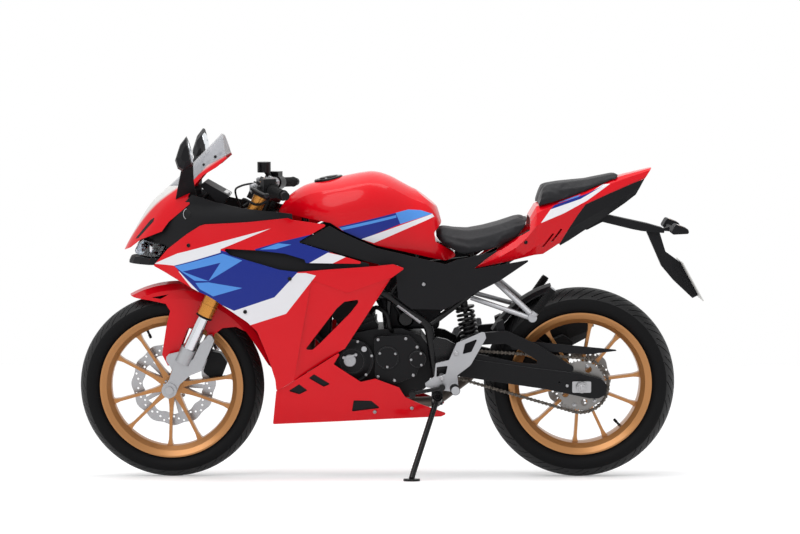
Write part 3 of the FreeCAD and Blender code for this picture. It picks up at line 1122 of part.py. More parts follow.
hugger_ring = turned([(318, -60), (330, -40), (334, 0), (330, 40), (318, 60), (315, 59), (327, 39), (331, 0),
                      (327, -39), (315, -59)], WHEELBASE, REAR_TYRE_RADIUS)
hugger = hugger_ring.common(plate([(1010, 480), (1060, 480), (1100, 520), (1214, 592), (1218, 650),
                                   (1080, 640), (1010, 560)], -80, 80))
hugger_tab = plate([(1046, 468), (1068, 478), (1062, 520), (1040, 510)], -ARM_INNER_Y - 2 + GAP, -50, 3)
hugger = fused(hugger, hugger_tab, mirrored(hugger_tab)).cut(drum(WHEELBASE, REAR_TYRE_RADIUS, 315, -70,
                                                                  70))
nodes["rear_mudguards"] = Part.makeCompound([hugger, guard])

# Side stand: its leg swings back and up about a pin on the frame's lug

STAND_PIVOT = vec(852, -134, 275)
STAND_FOOT = (770.0, -300.0)


def leaned(point):
    """Where a point of the upright bike goes when the bike leans on its stand."""
    c, s = math.cos(LEAN), math.sin(LEAN)
    return vec(point.x, point.y * c - point.z * s, point.z * c + point.y * s)


def upright(point):
    """Where a point of the parked bike is while the bike is still upright."""
    c, s = math.cos(LEAN), math.sin(LEAN)
    return vec(point.x, point.y * c + point.z * s, point.z * c - point.y * s)


foot_sole = upright(vec(*STAND_FOOT, -0.6))
foot_top = upright(vec(*STAND_FOOT, 7.0))
ankle = upright(vec(STAND_FOOT[0] + 4, STAND_FOOT[1] + 8, 22))
stowed = vec(0.985, -0.05, -0.165).normalize()
down = (ankle - STAND_PIVOT).normalize()
stand_axis = down.cross(stowed).normalize()
leg = fused(Part.makeCone(6.5, 9, 20, STAND_PIVOT + down * 8, down), bar(STAND_PIVOT + down * 27, ankle, 9))
eye = Part.makeCylinder(16, 14, STAND_PIVOT - stand_axis * 7, stand_axis)
foot_pad = Part.makeCylinder(26, 7.6, foot_sole, upright(vec(0, 0, 1)))
stand_bolt_hole = Part.makeCylinder(6, 60, STAND_PIVOT - stand_axis * 30, stand_axis)
nodes["side_stand"] = fused(leg, eye, foot_pad, bar(ankle, foot_top, 9)).cut(stand_bolt_hole)
stand_swing = math.degrees(down.getAngle(stowed))

# What hangs on the frame: the stand's lug, the nose stay, engine mounts and posts behind the panels

inward = stand_axis * -1 if stand_axis.y < 0 else stand_axis
lug = Part.makeCylinder(14, 26, STAND_PIVOT + inward * 7.3, inward)
pin = fused(Part.makeCylinder(5.95, 18, STAND_PIVOT - inward * 9, inward),
            Part.makeCylinder(10, 4, STAND_PIVOT - inward * 11.3, inward))
lug_arm = plate([(833, 250), (869, 250), (871, 333), (835, 335)], -113.5, -101.5)
nose_stay = fused(bar(fork(576, -YOKE_OFFSET + 20), vec(60, 0, 850), 12), bar(vec(60, -74, 850),
                                                                              vec(60, 74, 850), 9))
main_frame = main_frame.fuse(fused(lug_arm, lug, pin)).fuse(nose_stay).fuse(pivot_bolt)


def with_posts(frame, posts):
    """The frame with a post to the inner face of each panel it carries, on both sides where mirrored."""
    pieces = []
    for root, tip, radius, name, both_sides in posts:
        target = nodes[name]
        post = posted(root, tip, radius, target)
        pieces.append(post)
        if both_sides:
            pieces.append(mirrored(post))
    return frame.fuse(pieces).removeSplitter()


POSTS = [
    (vec(690, -108, 604), vec(705, -196, 684), 6, "side_cowls", True),
    (vec(440, -84, 608), vec(424, -214, 604), 6, "side_cowls", True),
    (vec(60, -70, 850), vec(70, -178, 735), 6, "side_cowls", True),
    (vec(766, -92, 674), vec(790, -166, 684), 6, "side_covers", True),
    (vec(60, 0, 850), vec(-140, 0, 796), 8, "front_cowl", False),
    (vec(60, 0, 850), vec(-70, 0, 752), 8, "front_inner_panels", False),
    (vec(60, 0, 850), vec(136, 0, 930), 7, "instrument_panel", False),
    (vec(60, -70, 850), vec(110, -190, 856), 5, "front_inner_panels", True),
    (vec(440, -84, 606), vec(380, -110, 590), 6, "radiator", True),
    (vec(430, -94, 745), vec(430, -84, 870), 8, "fuel_tank", True),
    (vec(780, -90, 676), vec(790, -80, 770), 7, "fuel_tank", True),
    (vec(960, -81, 694), vec(962, -76, 780), 7, "rider_seat", True),
    (vec(1150, -54, 780), vec(1150, -140, 786), 6, "tail_cowl", True),
    (vec(700, -110, 598), vec(690, -70, 470), 9, "engine", True),
    (vec(856, -40, 325), vec(800, -40, 345), 8, "engine", True),
]
main_frame = with_posts(main_frame, POSTS)
nodes["main_frame"] = main_frame
nodes["exhaust"] = exhaust

# Lean the bike onto its stand and set the origin on the ground under its middle

matrix = FreeCAD.Matrix()
matrix.rotateX(LEAN)
placed = {name: shape.transformed(matrix) for name, shape in nodes.items()}
box = FreeCAD.BoundBox()
for shape in placed.values():
    box.add(shape.optimalBoundingBox(False, False))
shift = vec(-box.Center.x, -box.Center.y, -box.ZMin)
for name, shape in placed.items():
    shape.translate(shift)
    shape.exportStep("parts/%s.step" % name)
    solids = shape.Solids
    print("%-20s solids %d valid %s volume %.0f" % (name, len(solids), all(s.isValid() for s in solids),
                                                    sum(s.Volume for s in solids)))
print("shift", [round(v, 3) for v in shift], "size", round(box.XLength), round(box.YLength),
      round(box.ZLength))
axis_end = leaned(stand_axis)
pivot_end = leaned(STAND_PIVOT) + shift
print("stand", [round(v, 4) for v in axis_end], [round(v, 2) for v in pivot_end], round(stand_swing, 1))
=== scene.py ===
# The looks of a light sport motorcycle that leans on its side stand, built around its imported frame.
# Lengths are metres, apart from the places on the upright bike, which mm() takes in millimetres.
import json
import math

import bmesh
import bpy
from mathutils import Matrix, Vector
from mathutils.bvhtree import BVHTree


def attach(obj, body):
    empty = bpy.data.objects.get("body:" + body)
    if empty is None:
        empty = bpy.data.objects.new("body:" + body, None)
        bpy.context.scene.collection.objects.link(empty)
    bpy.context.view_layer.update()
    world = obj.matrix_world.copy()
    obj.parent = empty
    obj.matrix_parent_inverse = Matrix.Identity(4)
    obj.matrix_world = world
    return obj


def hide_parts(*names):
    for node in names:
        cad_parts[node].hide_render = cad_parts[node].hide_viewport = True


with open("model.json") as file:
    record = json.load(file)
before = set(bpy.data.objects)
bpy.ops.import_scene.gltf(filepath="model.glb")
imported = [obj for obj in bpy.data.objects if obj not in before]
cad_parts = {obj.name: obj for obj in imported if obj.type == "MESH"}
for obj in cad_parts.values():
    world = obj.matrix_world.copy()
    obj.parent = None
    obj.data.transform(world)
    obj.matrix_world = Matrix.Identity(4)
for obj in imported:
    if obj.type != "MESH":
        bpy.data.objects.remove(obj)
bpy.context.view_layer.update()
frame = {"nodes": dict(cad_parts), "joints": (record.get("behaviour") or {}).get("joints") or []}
cad = frame["nodes"]
scene = bpy.context.scene

# The parked bike
# Every piece is drawn on the upright bike, with x back from the front axle, y to the rider's right and z up,
# and is then leaned onto the stand. The front wheel's joint gives the lean and the place of the front axle.
FRONT_RADIUS = 0.296
joints = {joint["name"]: joint for joint in frame["joints"]}
front_spin = joints["front_wheel_spin"]
lean = math.atan2(front_spin["axis"][2], front_spin["axis"][1])
lean_turn = Matrix.Rotation(lean, 4, "X")
front_axle = Vector((0, 0, FRONT_RADIUS))
parked = Matrix.Translation(Vector(front_spin["pos_m"]) - lean_turn @ front_axle) @ lean_turn


def mm(x, y, z):
    """A place on the upright bike, from millimetres."""
    return Vector((x, y, z)) / 1000


# Studio
# A long lens stands square to the left side, low enough not to see the leaning bike from above. The room and
# its floor are white, with a wide lamp overhead and a broad soft key light. The floor is the first to get the
# grain that every finish has, with its bump, its gloss, its tone and its worn edges.
VIEW_DISTANCE = 7.2
VIEW_HEIGHT = 0.42
LENS = 101.0
VIEW_CENTRE = mm(733.7, 0, 679)
AMBIENT = 0.62
KEY_STRENGTH = 1.15
OVERHEAD_POWER = 30.0
FLOOR_REACH = 40.0
FLOOR_GLOW = 0.2
WHITE_LIGHT = (1, 1, 1, 1)
WORN_COLOUR = (0.75, 0.75, 0.77, 1.0)
WEAR_WIDTH = 0.0012
WEAR_SHARPNESS = 5.0
EDGE_ROUNDING = 0.0012
TONE_SCALE = 7.0

aim = parked @ VIEW_CENTRE
camera = bpy.data.objects.new("camera", bpy.data.cameras.new("camera"))
camera.data.lens = LENS
camera.location = (aim.x, aim.y - VIEW_DISTANCE, VIEW_HEIGHT)
camera.rotation_euler = (aim - camera.location).to_track_quat("-Z", "Y").to_euler()
scene.collection.objects.link(camera)
scene.camera = camera
scene.view_settings.view_transform = "Standard"


def lamp(name, kind, place, target, **values):
    light = bpy.data.lights.new(name, kind)
    for key, value in values.items():
        setattr(light, key, value)
    holder = bpy.data.objects.new(name, light)
    holder.location = place
    holder.rotation_euler = (Vector(target) - Vector(place)).to_track_quat("-Z", "Y").to_euler()
    scene.collection.objects.link(holder)


lamp("key", "SUN", (-1.6, -3.0, 3.4), (0, 0, 0.4), energy=KEY_STRENGTH, angle=math.radians(40))
lamp("overhead", "AREA", (0, -0.2, 2.6), (0, 0, 0), energy=OVERHEAD_POWER, shape="RECTANGLE", size=2.6,
     size_y=0.9)


def shader_node(tree, kind, sockets, **settings):
    """A shader node with its settings. Its sockets get values, or links from other nodes' outputs."""
    made = tree.nodes.new("ShaderNode" + kind)
    for key, value in settings.items():
        setattr(made, key, value)
    for socket, value in sockets.items():
        if isinstance(value, bpy.types.NodeSocket):
            tree.links.new(value, made.inputs[socket])
        else:
            made.inputs[socket].default_value = value
    return made


def math_node(tree, operation, first, second, clamp=False):
    return shader_node(tree, "Math", {0: first, 1: second}, operation=operation, use_clamp=clamp).outputs[0]


def mixed(tree, share, below, above):
    """One colour over another, by a mask."""
    return shader_node(tree, "Mix", {0: share, 6: below, 7: above}, data_type="RGBA").outputs[2]


def seen_directly(tree):
    """1 for the rays that show the background: camera, glossy and transmission rays."""
    path = shader_node(tree, "LightPath", {}).outputs
    either = math_node(tree, "MAXIMUM", path["Is Camera Ray"], path["Is Glossy Ray"])
    return math_node(tree, "MAXIMUM", either, path["Is Transmission Ray"])


world = bpy.data.worlds.new("white room")
world.use_nodes = True
scene.world = world
room = world.node_tree
room.nodes.clear()
room_light = shader_node(room, "Background", {"Color": WHITE_LIGHT, "Strength": AMBIENT})
room_white = shader_node(room, "Background", {"Color": WHITE_LIGHT})
room_mix = shader_node(room, "MixShader", {0: seen_directly(room), 1: room_light.outputs[0],
                                           2: room_white.outputs[0]})
shader_node(room, "OutputWorld", {0: room_mix.outputs[0]})


def group_tree(name, takes, gives):
    """An empty node group with named inputs and outputs."""
    tree = bpy.data.node_groups.new(name, "ShaderNodeTree")
    for way, sockets in (("INPUT", takes), ("OUTPUT", gives)):
        for label, kind in sockets:
            tree.interface.new_socket(label, in_out=way, socket_type="NodeSocket" + kind)
    return tree, tree.nodes.new("NodeGroupInput").outputs, tree.nodes.new("NodeGroupOutput").inputs


grain_tree, grain_in, grain_out = group_tree(
    "surface grain", (("Colour", "Color"), ("Roughness", "Float"), ("Scale", "Float"), ("Tone", "Float"),
                      ("Spread", "Float"), ("Wear", "Float")),
    (("Colour", "Color"), ("Roughness", "Float"), ("Height", "Float")))
grain_place = shader_node(grain_tree, "TexCoord", {}).outputs["Object"]
fine = shader_node(grain_tree, "TexNoise", {"Vector": grain_place, "Scale": grain_in["Scale"], "Detail": 2.0})
fine = fine.outputs["Fac"]
broad = shader_node(grain_tree, "TexNoise", {"Vector": grain_place, "Scale": TONE_SCALE, "Detail": 3.0})
tone = math_node(grain_tree, "SUBTRACT", broad.outputs["Fac"], 0.5)
tone = math_node(grain_tree, "ADD", math_node(grain_tree, "MULTIPLY", tone, grain_in["Tone"]), 1.0)
toned = shader_node(grain_tree, "VectorMath", {0: grain_in["Colour"], "Scale": tone}, operation="SCALE")
rounding = shader_node(grain_tree, "Bevel", {"Radius": WEAR_WIDTH}, samples=4)
flat = shader_node(grain_tree, "NewGeometry", {}).outputs["Normal"]
alike = shader_node(grain_tree, "VectorMath", {0: rounding.outputs[0], 1: flat}, operation="DOT_PRODUCT")
edge = math_node(grain_tree, "SUBTRACT", 1.0, alike.outputs["Value"])
edge = math_node(grain_tree, "MULTIPLY", edge, WEAR_SHARPNESS, clamp=True)
edge = math_node(grain_tree, "MULTIPLY", edge, grain_in["Wear"])
gloss = math_node(grain_tree, "MULTIPLY", math_node(grain_tree, "SUBTRACT", fine, 0.5), grain_in["Spread"])
gloss = math_node(grain_tree, "ADD", gloss, grain_in["Roughness"], clamp=True)
for label, value in (("Colour", mixed(grain_tree, edge, toned.outputs[0], WORN_COLOUR)),
                     ("Roughness", gloss), ("Height", fine)):
    grain_tree.links.new(value, grain_out[label])


def rgb(red, green, blue):
    """A colour from its 0 to 255 values on screen."""
    return tuple((v / 255) ** 2.2 for v in (red, green, blue)) + (1.0,)


def finish(name, colour, roughness, scale=500.0, depth=0.0002, tone=0.12, spread=0.12, wear=0.0, **sockets):
    """A grained material. The colour is a value, or a function that makes it in the material's tree."""
    material = bpy.data.materials.new(name)
    material.use_nodes = True
    tree = material.node_tree
    tree.nodes.clear()
    if callable(colour):
        colour = colour(tree)
    grain = shader_node(tree, "Group", {"Colour": colour, "Roughness": roughness, "Scale": scale,
                                        "Tone": tone, "Spread": spread, "Wear": wear},
                        node_tree=grain_tree).outputs
    named = {label.replace("_", " ").title().replace("Ior", "IOR"): value for label, value in sockets.items()}
    shader = shader_node(tree, "BsdfPrincipled",
                         {"Base Color": grain["Colour"], "Roughness": grain["Roughness"], **named})
    if depth:
        softened = shader_node(tree, "Bevel", {"Radius": EDGE_ROUNDING}, samples=4).outputs[0]
        bump = shader_node(tree, "Bump", {"Distance": depth, "Height": grain["Height"], "Normal": softened})
        tree.links.new(bump.outputs[0], shader.inputs["Normal"])
    shader_node(tree, "OutputMaterial", {0: shader.outputs[0]})
    return material


def dress(material, *nodes):
    """Gives nodes of the frame their finish."""
    for node in nodes:
        cad[node].data.materials.clear()
        cad[node].data.materials.append(material)


floor_finish = finish("floor", rgb(246, 246, 247), 0.6, depth=0, tone=0.01, spread=0.05)
floor_tree = floor_finish.node_tree
floor_surface = floor_tree.nodes["Material Output"].inputs[0]
glow_strength = math_node(floor_tree, "MULTIPLY", seen_directly(floor_tree), FLOOR_GLOW)
glow = shader_node(floor_tree, "Emission", {"Strength": glow_strength})
lit = shader_node(floor_tree, "AddShader", {0: floor_surface.links[0].from_socket, 1: glow.outputs[0]})
floor_tree.links.new(lit.outputs[0], floor_surface)
floor_mesh = bpy.data.meshes.new("floor")
floor_mesh.from_pydata([(x * FLOOR_REACH, y * FLOOR_REACH, 0) for x, y in ((-1, -1), (1, -1), (1, 1), (-1, 1))],
                       [], [(0, 1, 2, 3)])
floor_mesh.materials.append(floor_finish)
floor = bpy.data.objects.new("floor", floor_mesh)
scene.collection.objects.link(floor)

# Tyres
# Round sport tyres of black rubber. Each tread pitch has two long slanted grooves and a short one, with the
# far side half a pitch behind. The grid of the tread follows the slant, so that each groove has clean walls.
REAR_RADIUS = 0.307
WHEELBASE = 1.311
rear_axle = Vector((WHEELBASE, 0, REAR_RADIUS))
CROWN_HALF = 0.46
CROWN_DROP = 0.24
GROOVE_DEPTH = 0.0045
GROOVE_SLANT = 1.15
GROOVE_CURVE = 1.35
BEAD_RADIUS = 0.218
FLANGE_TOP = 0.232
ROW_SHARES = (0, 0.06, 0.1, 0.14, 0.2, 0.26, 0.32, 0.38, 0.44, 0.5, 0.56, 0.62, 0.68, 0.74, 0.8, 0.86, 0.93, 1)
COLUMN_SHARES = (0, 0.014, 0.08, 0.094, 0.2, 0.33, 0.46, 0.5, 0.514, 0.58, 0.594, 0.68, 0.74, 0.75, 0.79, 0.8,
                 0.9)
LONG_GROOVES = (0, 7)
SHORT_GROOVE = 12
tread_rubber = finish("tread rubber", rgb(26, 26, 27), 0.5, scale=1500.0, depth=0.0003, tone=0.25,
                      specular_ior_level=0.3, wear=0.1)
wall_rubber = finish("side wall rubber", rgb(22, 22, 23), 0.6, scale=1500.0, depth=0.0002, tone=0.15,
                     specular_ior_level=0.1)


def shown(name, form, material, body, sharp=34):
    """Turns a form drawn on the upright bike into a piece that rides on a body of the frame."""
    bmesh.ops.recalc_face_normals(form, faces=form.faces)
    mesh = bpy.data.meshes.new(name)
    form.to_mesh(mesh)
    form.free()
    mesh.transform(parked)
    mesh.polygons.foreach_set("use_smooth", [True] * len(mesh.polygons))
    mesh.set_sharp_from_angle(angle=math.radians(sharp))
    mesh.materials.append(material)
    made = bpy.data.objects.new(name, mesh)
    scene.collection.objects.link(made)
    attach(made, body)
    return made


def circle_arc(a, b, c, count):
    """Points from a to c on the circle through a, b and c."""
    (ax, ay), (bx, by), (cx, cy) = a, b, c
    d = 2 * (ax * (by - cy) + bx * (cy - ay) + cx * (ay - by))
    squares = ax ** 2 + ay ** 2, bx ** 2 + by ** 2, cx ** 2 + cy ** 2
    ux = (squares[0] * (by - cy) + squares[1] * (cy - ay) + squares[2] * (ay - by)) / d
    uy = (squares[0] * (cx - bx) + squares[1] * (ax - cx) + squares[2] * (bx - ax)) / d
    radius = math.hypot(ax - ux, ay - uy)
    first, middle, last = (math.atan2(y - uy, x - ux) for x, y in (a, b, c))
    while middle < first:
        middle += 2 * math.pi
    while last < first:
        last += 2 * math.pi
    if middle > last:
        last -= 2 * math.pi
    angles = [first + (last - first) * i / count for i in range(count + 1)]
    return [(ux + radius * math.cos(angle), uy + radius * math.sin(angle)) for angle in angles]


def groove_at(column, crosswise, early, late):
    """The depth of the tread's grooves in a column of the grid, at a share of the half width."""
    for first, low, high in ((early, 0.1, 0.8), (late, 0.32, 0.93), (SHORT_GROOVE, 0.14, 0.38)):
        if column in (first + 1, first + 2) and low <= crosswise <= high:
            return GROOVE_DEPTH
    return 0.0


def tread_tyre(name, axle, radius, width, rim_width, pitches, body):
    """A tyre whose side walls run round from bead to shoulder and whose crown carries the tread."""
    crown_half = CROWN_HALF * width
    crown_drop = CROWN_DROP * width
    crown_radius = (crown_half ** 2 + crown_drop ** 2) / (2 * crown_drop)
    crown_angle = math.asin(crown_half / crown_radius)
    bead = (rim_width / 2 - 0.006, BEAD_RADIUS)
    shoulder = radius - crown_drop
    widest = (BEAD_RADIUS + shoulder) / 2 + 0.008
    wall = circle_arc((bead[0], FLANGE_TOP), (width / 2, widest), (crown_half, shoulder), 9)[:-1]
    shares = [-s for s in ROW_SHARES[:0:-1]] + list(ROW_SHARES)
    rows = [(-y, r, None) for y, r in [bead] + wall] + [(0.0, 0.0, s) for s in shares]
    rows += [(y, r, None) for y, r in wall[::-1] + [bead]]
    pitch = 2 * math.pi / pitches
    form = bmesh.new()
    grid = []
    for number in range(pitches):
        for column, share in enumerate(COLUMN_SHARES):
            line = []
            for y, r, across in rows:
                crosswise = 1.0 if across is None else abs(across)
                along = (number + share + GROOVE_SLANT * crosswise ** GROOVE_CURVE) * pitch
                if across is not None:
                    early, late = LONG_GROOVES if across >= 0 else LONG_GROOVES[::-1]
                    out = crown_radius - groove_at(column, crosswise, early, late)
                    r = radius - crown_radius + out * math.cos(across * crown_angle)
                    y = out * math.sin(across * crown_angle)
                line.append(form.verts.new((axle.x + r * math.cos(along), y, axle.z + r * math.sin(along))))
            grid.append(line)
    for here, following in zip(grid, grid[1:] + grid[:1]):
        for i in range(len(rows)):
            j = (i + 1) % len(rows)
            face = form.faces.new((here[i], here[j], following[j], following[i]))
            face.material_index = 0 if rows[i][2] is not None and rows[j][2] is not None else 1
    tyre = shown(name, form, tread_rubber, body, sharp=40)
    tyre.data.materials.append(wall_rubber)
    return tyre


front_tread = tread_tyre("front_tyre_tread", front_axle, FRONT_RADIUS, 0.100, 0.076, 30, "front_wheel")
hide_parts("front_tyre")
rear_tread = tread_tyre("rear_tyre_tread", rear_axle, REAR_RADIUS, 0.130, 0.100, 28, "rear_wheel")
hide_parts("rear_tyre")

# Wheels
# Each wheel is one aluminium casting in gold enamel, with a rubber valve through its rim. The brake discs and
# the rear sprocket are ground steel rings, held to the hub by a circle of bolts.
ACROSS = Vector((0, 1, 0))
VALVES = ((front_axle, 114.0, "front_wheel"), (rear_axle, -47.0, "rear_wheel"))
VALVE_ROOT = 0.199
VALVE_PROFILE = ((-0.002, 0.0062), (0.004, 0.0062), (0.007, 0.004), (0.018, 0.0036), (0.019, 0.0048),
                 (0.030, 0.0046), (0.032, 0.003))
gold_cast = finish("gold wheel enamel", rgb(168, 118, 72), 0.32, scale=700.0, depth=0.0001, metallic=0.6,
                   coat_weight=0.2, coat_roughness=0.1, specular_ior_level=0.3, wear=0.12)
steel = finish("ground steel", rgb(160, 160, 162), 0.3, scale=800.0, depth=0.0001, metallic=0.95)
rubber = finish("black rubber", rgb(22, 22, 23), 0.7, scale=1200.0, depth=0.0003, specular_ior_level=0.15)
sprocket_steel = finish("sprocket steel", rgb(122, 120, 118), 0.34, scale=800.0, depth=0.0001, metallic=0.9,
                        wear=0.2)


def walled(form, rings):
    """Faces between each ring of points and the next, and over the first and the last."""
    for here, following in zip(rings, rings[1:]):
        for i in range(len(here)):
            j = (i + 1) % len(here)
            form.faces.new((here[i], here[j], following[j], following[i]))
    form.faces.new(rings[0][::-1])
    form.faces.new(rings[-1])


def lathe(form, centre, axis, profile, sides=20):
    """Turns pairs of (distance along the axis, radius) about the axis."""
    axis = Vector(axis).normalized()
    first = axis.orthogonal().normalized()
    second = axis.cross(first)
    rings = []
    for along, radius in profile:
        ring = []
        for i in range(sides):
            angle = 2 * math.pi * i / sides
            out = first * math.cos(angle) + second * math.sin(angle)
            ring.append(form.verts.new(centre + axis * along + out * radius))
        rings.append(ring)
    walled(form, rings)


def hex_bolt(form, place, axis, radius):
    """A flanged bolt with a six-sided head."""
    lathe(form, place, axis, [(-0.002, radius), (0.18 * radius, radius), (0.3 * radius, 0.84 * radius)], 18)
    lathe(form, place, axis, [(0.2 * radius, 0.7 * radius), (0.85 * radius, 0.7 * radius),
                              (0.98 * radius, 0.56 * radius)], 6)


def socket_bolt(form, place, axis, radius):
    """A round-headed screw with a socket in it."""
    lathe(form, place, axis, [(-0.002, radius), (0.3 * radius, radius), (0.62 * radius, 0.8 * radius),
                              (0.66 * radius, 0.5 * radius), (0.2 * radius, 0.44 * radius)], 16)


def ring_of(centre, radius, count, first=0.0):
    """Places round a circle that faces across the bike."""
    turns = [first + 2 * math.pi * i / count for i in range(count)]
    return [centre + Vector((math.cos(turn), 0, math.sin(turn))) * radius for turn in turns]


dress(gold_cast, "front_rim", "rear_rim")
dress(steel, "front_brake_disc", "front_axle", "rear_axle")
dress(sprocket_steel, "rear_brake_disc", "rear_sprocket")
for axle, degrees, body in VALVES:
    out = ring_of(Vector(), 1.0, 1, math.radians(degrees))[0]
    form = bmesh.new()
    lathe(form, axle + out * VALVE_ROOT, -out, VALVE_PROFILE, 14)
    shown(body + "_valve", form, rubber, body)

form = bmesh.new()
for place in ring_of(front_axle + mm(0, 38, 0), 0.049, 5, math.radians(20)):
    hex_bolt(form, place, ACROSS, 0.0062)
shown("front_disc_bolts", form, steel, "front_wheel")
form = bmesh.new()
for place in ring_of(rear_axle + mm(0, -78.4, 0), 0.066, 6, math.radians(12)):
    hex_bolt(form, place, -ACROSS, 0.0068)
shown("sprocket_bolts", form, steel, "rear_wheel")

# Chain
# An oiled steel roller chain of 12.7 mm pitch. Pairs of inner and outer plates with waisted sides take turns
# on the rollers' pins, all the way round both sprockets.
CHAIN_PITCH = 0.0127
CHAIN_Y = -0.075
CHAIN_WHEELS = ((WHEELBASE, REAR_RADIUS, 0.088), (0.790, 0.400, 0.031))
PLATE_THICKNESS = 0.0014
INNER_PLATE_Y = 0.0040
OUTER_PLATE_Y = 0.0058
ROLLER_HALF = 0.0034
PIN_HALF = 0.0077
PLATE_END = 0.0052
PLATE_WAIST = 0.0036
dark_steel = finish("oiled steel", rgb(98, 92, 86), 0.42, scale=800.0, depth=0.0001, metallic=0.85)


def belt(big, small):
    """A fine closed line round two wheels given as (x, z, radius)."""
    (bx, bz, br), (sx, sz, sr) = big, small
    heading = math.atan2(sz - bz, sx - bx)
    swing = math.acos((br - sr) / math.hypot(sx - bx, sz - bz))
    points = []
    for x, z, radius, start, turn in ((bx, bz, br, heading + swing, 2 * math.pi - 2 * swing),
                                      (sx, sz, sr, heading - swing, 2 * swing)):
        count = int(radius * turn / 0.0004)
        for i in range(count + 1):
            angle = start + turn * i / count
            points.append(Vector((x + radius * math.cos(angle), 0, z + radius * math.sin(angle))))
    return points


def even_steps(points, pitch):
    """Places one pitch apart along a closed line, their number rounded to an even one."""
    ends = points[1:] + points[:1]
    total = sum((b - a).length for a, b in zip(points, ends))
    count = 2 * round(total / pitch / 2)
    places = []
    gone = 0.0
    for a, b in zip(points, ends):
        length = (b - a).length
        while len(places) < count and len(places) * total / count <= gone + length + 1e-9:
            places.append(a.lerp(b, (len(places) * total / count - gone) / max(length, 1e-9)))
        gone += length
    return places


def link_plate(form, first, second, y):
    """One side plate between two pins, with round ends and a waist."""
    along = (second - first).normalized()
    across = Vector((along.z, 0, -along.x))
    outline = []
    for pin, way in ((first, -1), (second, 1)):
        for degrees in (-100, -60, -20, 20, 60, 100):
            turn = math.radians(degrees) * way
            outline.append(pin + (along * (way * math.cos(turn)) + across * math.sin(turn)) * PLATE_END)
        outline.append((first + second) / 2 - across * (PLATE_WAIST * way))
    level, half = Vector((0, y, 0)), Vector((0, PLATE_THICKNESS / 2, 0))
    near, far = ([form.verts.new(p + level + shift) for p in outline] for shift in (-half, half))
    form.faces.new(near)
    form.faces.new(far[::-1])
    for i in range(len(outline)):
        j = (i + 1) % len(outline)
        form.faces.new((near[i], far[i], far[j], near[j]))


form = bmesh.new()
pins = even_steps(belt(*CHAIN_WHEELS), CHAIN_PITCH)
for number, (pin, following) in enumerate(zip(pins, pins[1:] + pins[:1])):
    reach = INNER_PLATE_Y if number % 2 else OUTER_PLATE_Y
    for side in (-1, 1):
        link_plate(form, pin, following, CHAIN_Y + side * reach)
    middle = pin + Vector((0, CHAIN_Y, 0))
    lathe(form, middle, ACROSS, [(-ROLLER_HALF, 0.0042), (ROLLER_HALF, 0.0042)], 10)
    lathe(form, middle, ACROSS, [(-PIN_HALF, 0.0019), (PIN_HALF, 0.0019)], 8)
chain = shown("chain_links", form, dark_steel, "frame")
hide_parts("drive_chain")

# Fork, yokes and front brake
# Gold anodised outer tubes slide over polished inner ones that end in silver castings at the axle. Black
# yokes clamp them. A hose runs from under the right lever down the leg to the caliper, in two clips.
CASTER = math.radians(25.5)
LEG_SIDE = -98
UP = Vector((math.sin(CASTER), 0, math.cos(CASTER)))
AHEAD = Vector((-math.cos(CASTER), 0, math.sin(CASTER)))
gold_tube = finish("gold anodised tube", rgb(194, 132, 62), 0.28, scale=260.0, depth=0.00004, metallic=0.8)
bright_tube = finish("polished steel tube", rgb(206, 208, 212), 0.12, scale=220.0, depth=0.00002, metallic=1.0)
silver_cast = finish("silver casting", rgb(162, 163, 166), 0.4, scale=1100.0, depth=0.0003, metallic=0.7,
                     wear=0.2)
black_cast = finish("black casting", rgb(20, 20, 22), 0.42, scale=1400.0, depth=0.0003,
                    specular_ior_level=0.16, wear=0.12)
hose_rubber = finish("hose rubber", rgb(16, 16, 17), 0.45, scale=900.0, depth=0.0001, specular_ior_level=0.2)
dress(gold_tube, "fork_outer_tubes")
dress(bright_tube, "fork_inner_tubes")
dress(silver_cast, "fork_feet")
dress(black_cast, "yokes", "handlebars", "front_caliper")


def fork(s, ahead=0.0, y=0.0):
    """A place by its way up the fork from the axle, its way ahead of the leg and its side."""
    return front_axle + (UP * s + AHEAD * ahead) / 1000 + mm(0, y, 0)


def smooth_line(points, steps=8):
    """A smooth line through points."""
    line = []
    run = [points[0] * 2 - points[1]] + list(points) + [points[-1] * 2 - points[-2]]
    for a, b, c, d in zip(run, run[1:], run[2:], run[3:]):
        for i in range(steps):
            t = i / steps
            line.append(0.5 * (2 * b + (c - a) * t + (2 * a - 5 * b + 4 * c - d) * t ** 2
                               + (3 * b - a - 3 * c + d) * t ** 3))
    return line + [points[-1]]


def sweep(form, line, radius, sides=10):
    """A round rod along a line."""
    along = (line[1] - line[0]).normalized()
    out = along.orthogonal().normalized()
    rings = []
    for number, place in enumerate(line):
        along = (line[min(number + 1, len(line) - 1)] - line[max(number - 1, 0)]).normalized()
        out = (out - along * out.dot(along)).normalized()
        aside = along.cross(out)
        angles = [2 * math.pi * i / sides for i in range(sides)]
        rings.append([form.verts.new(place + (out * math.cos(a) + aside * math.sin(a)) * radius)
                      for a in angles])
    walled(form, rings)


def both_sides(form):
    """Adds the right-hand twin of what is drawn on the left."""
    twin = bmesh.ops.duplicate(form, geom=form.verts[:] + form.edges[:] + form.faces[:])
    for part in twin["geom"]:
        if isinstance(part, bmesh.types.BMVert):
            part.co.y = -part.co.y


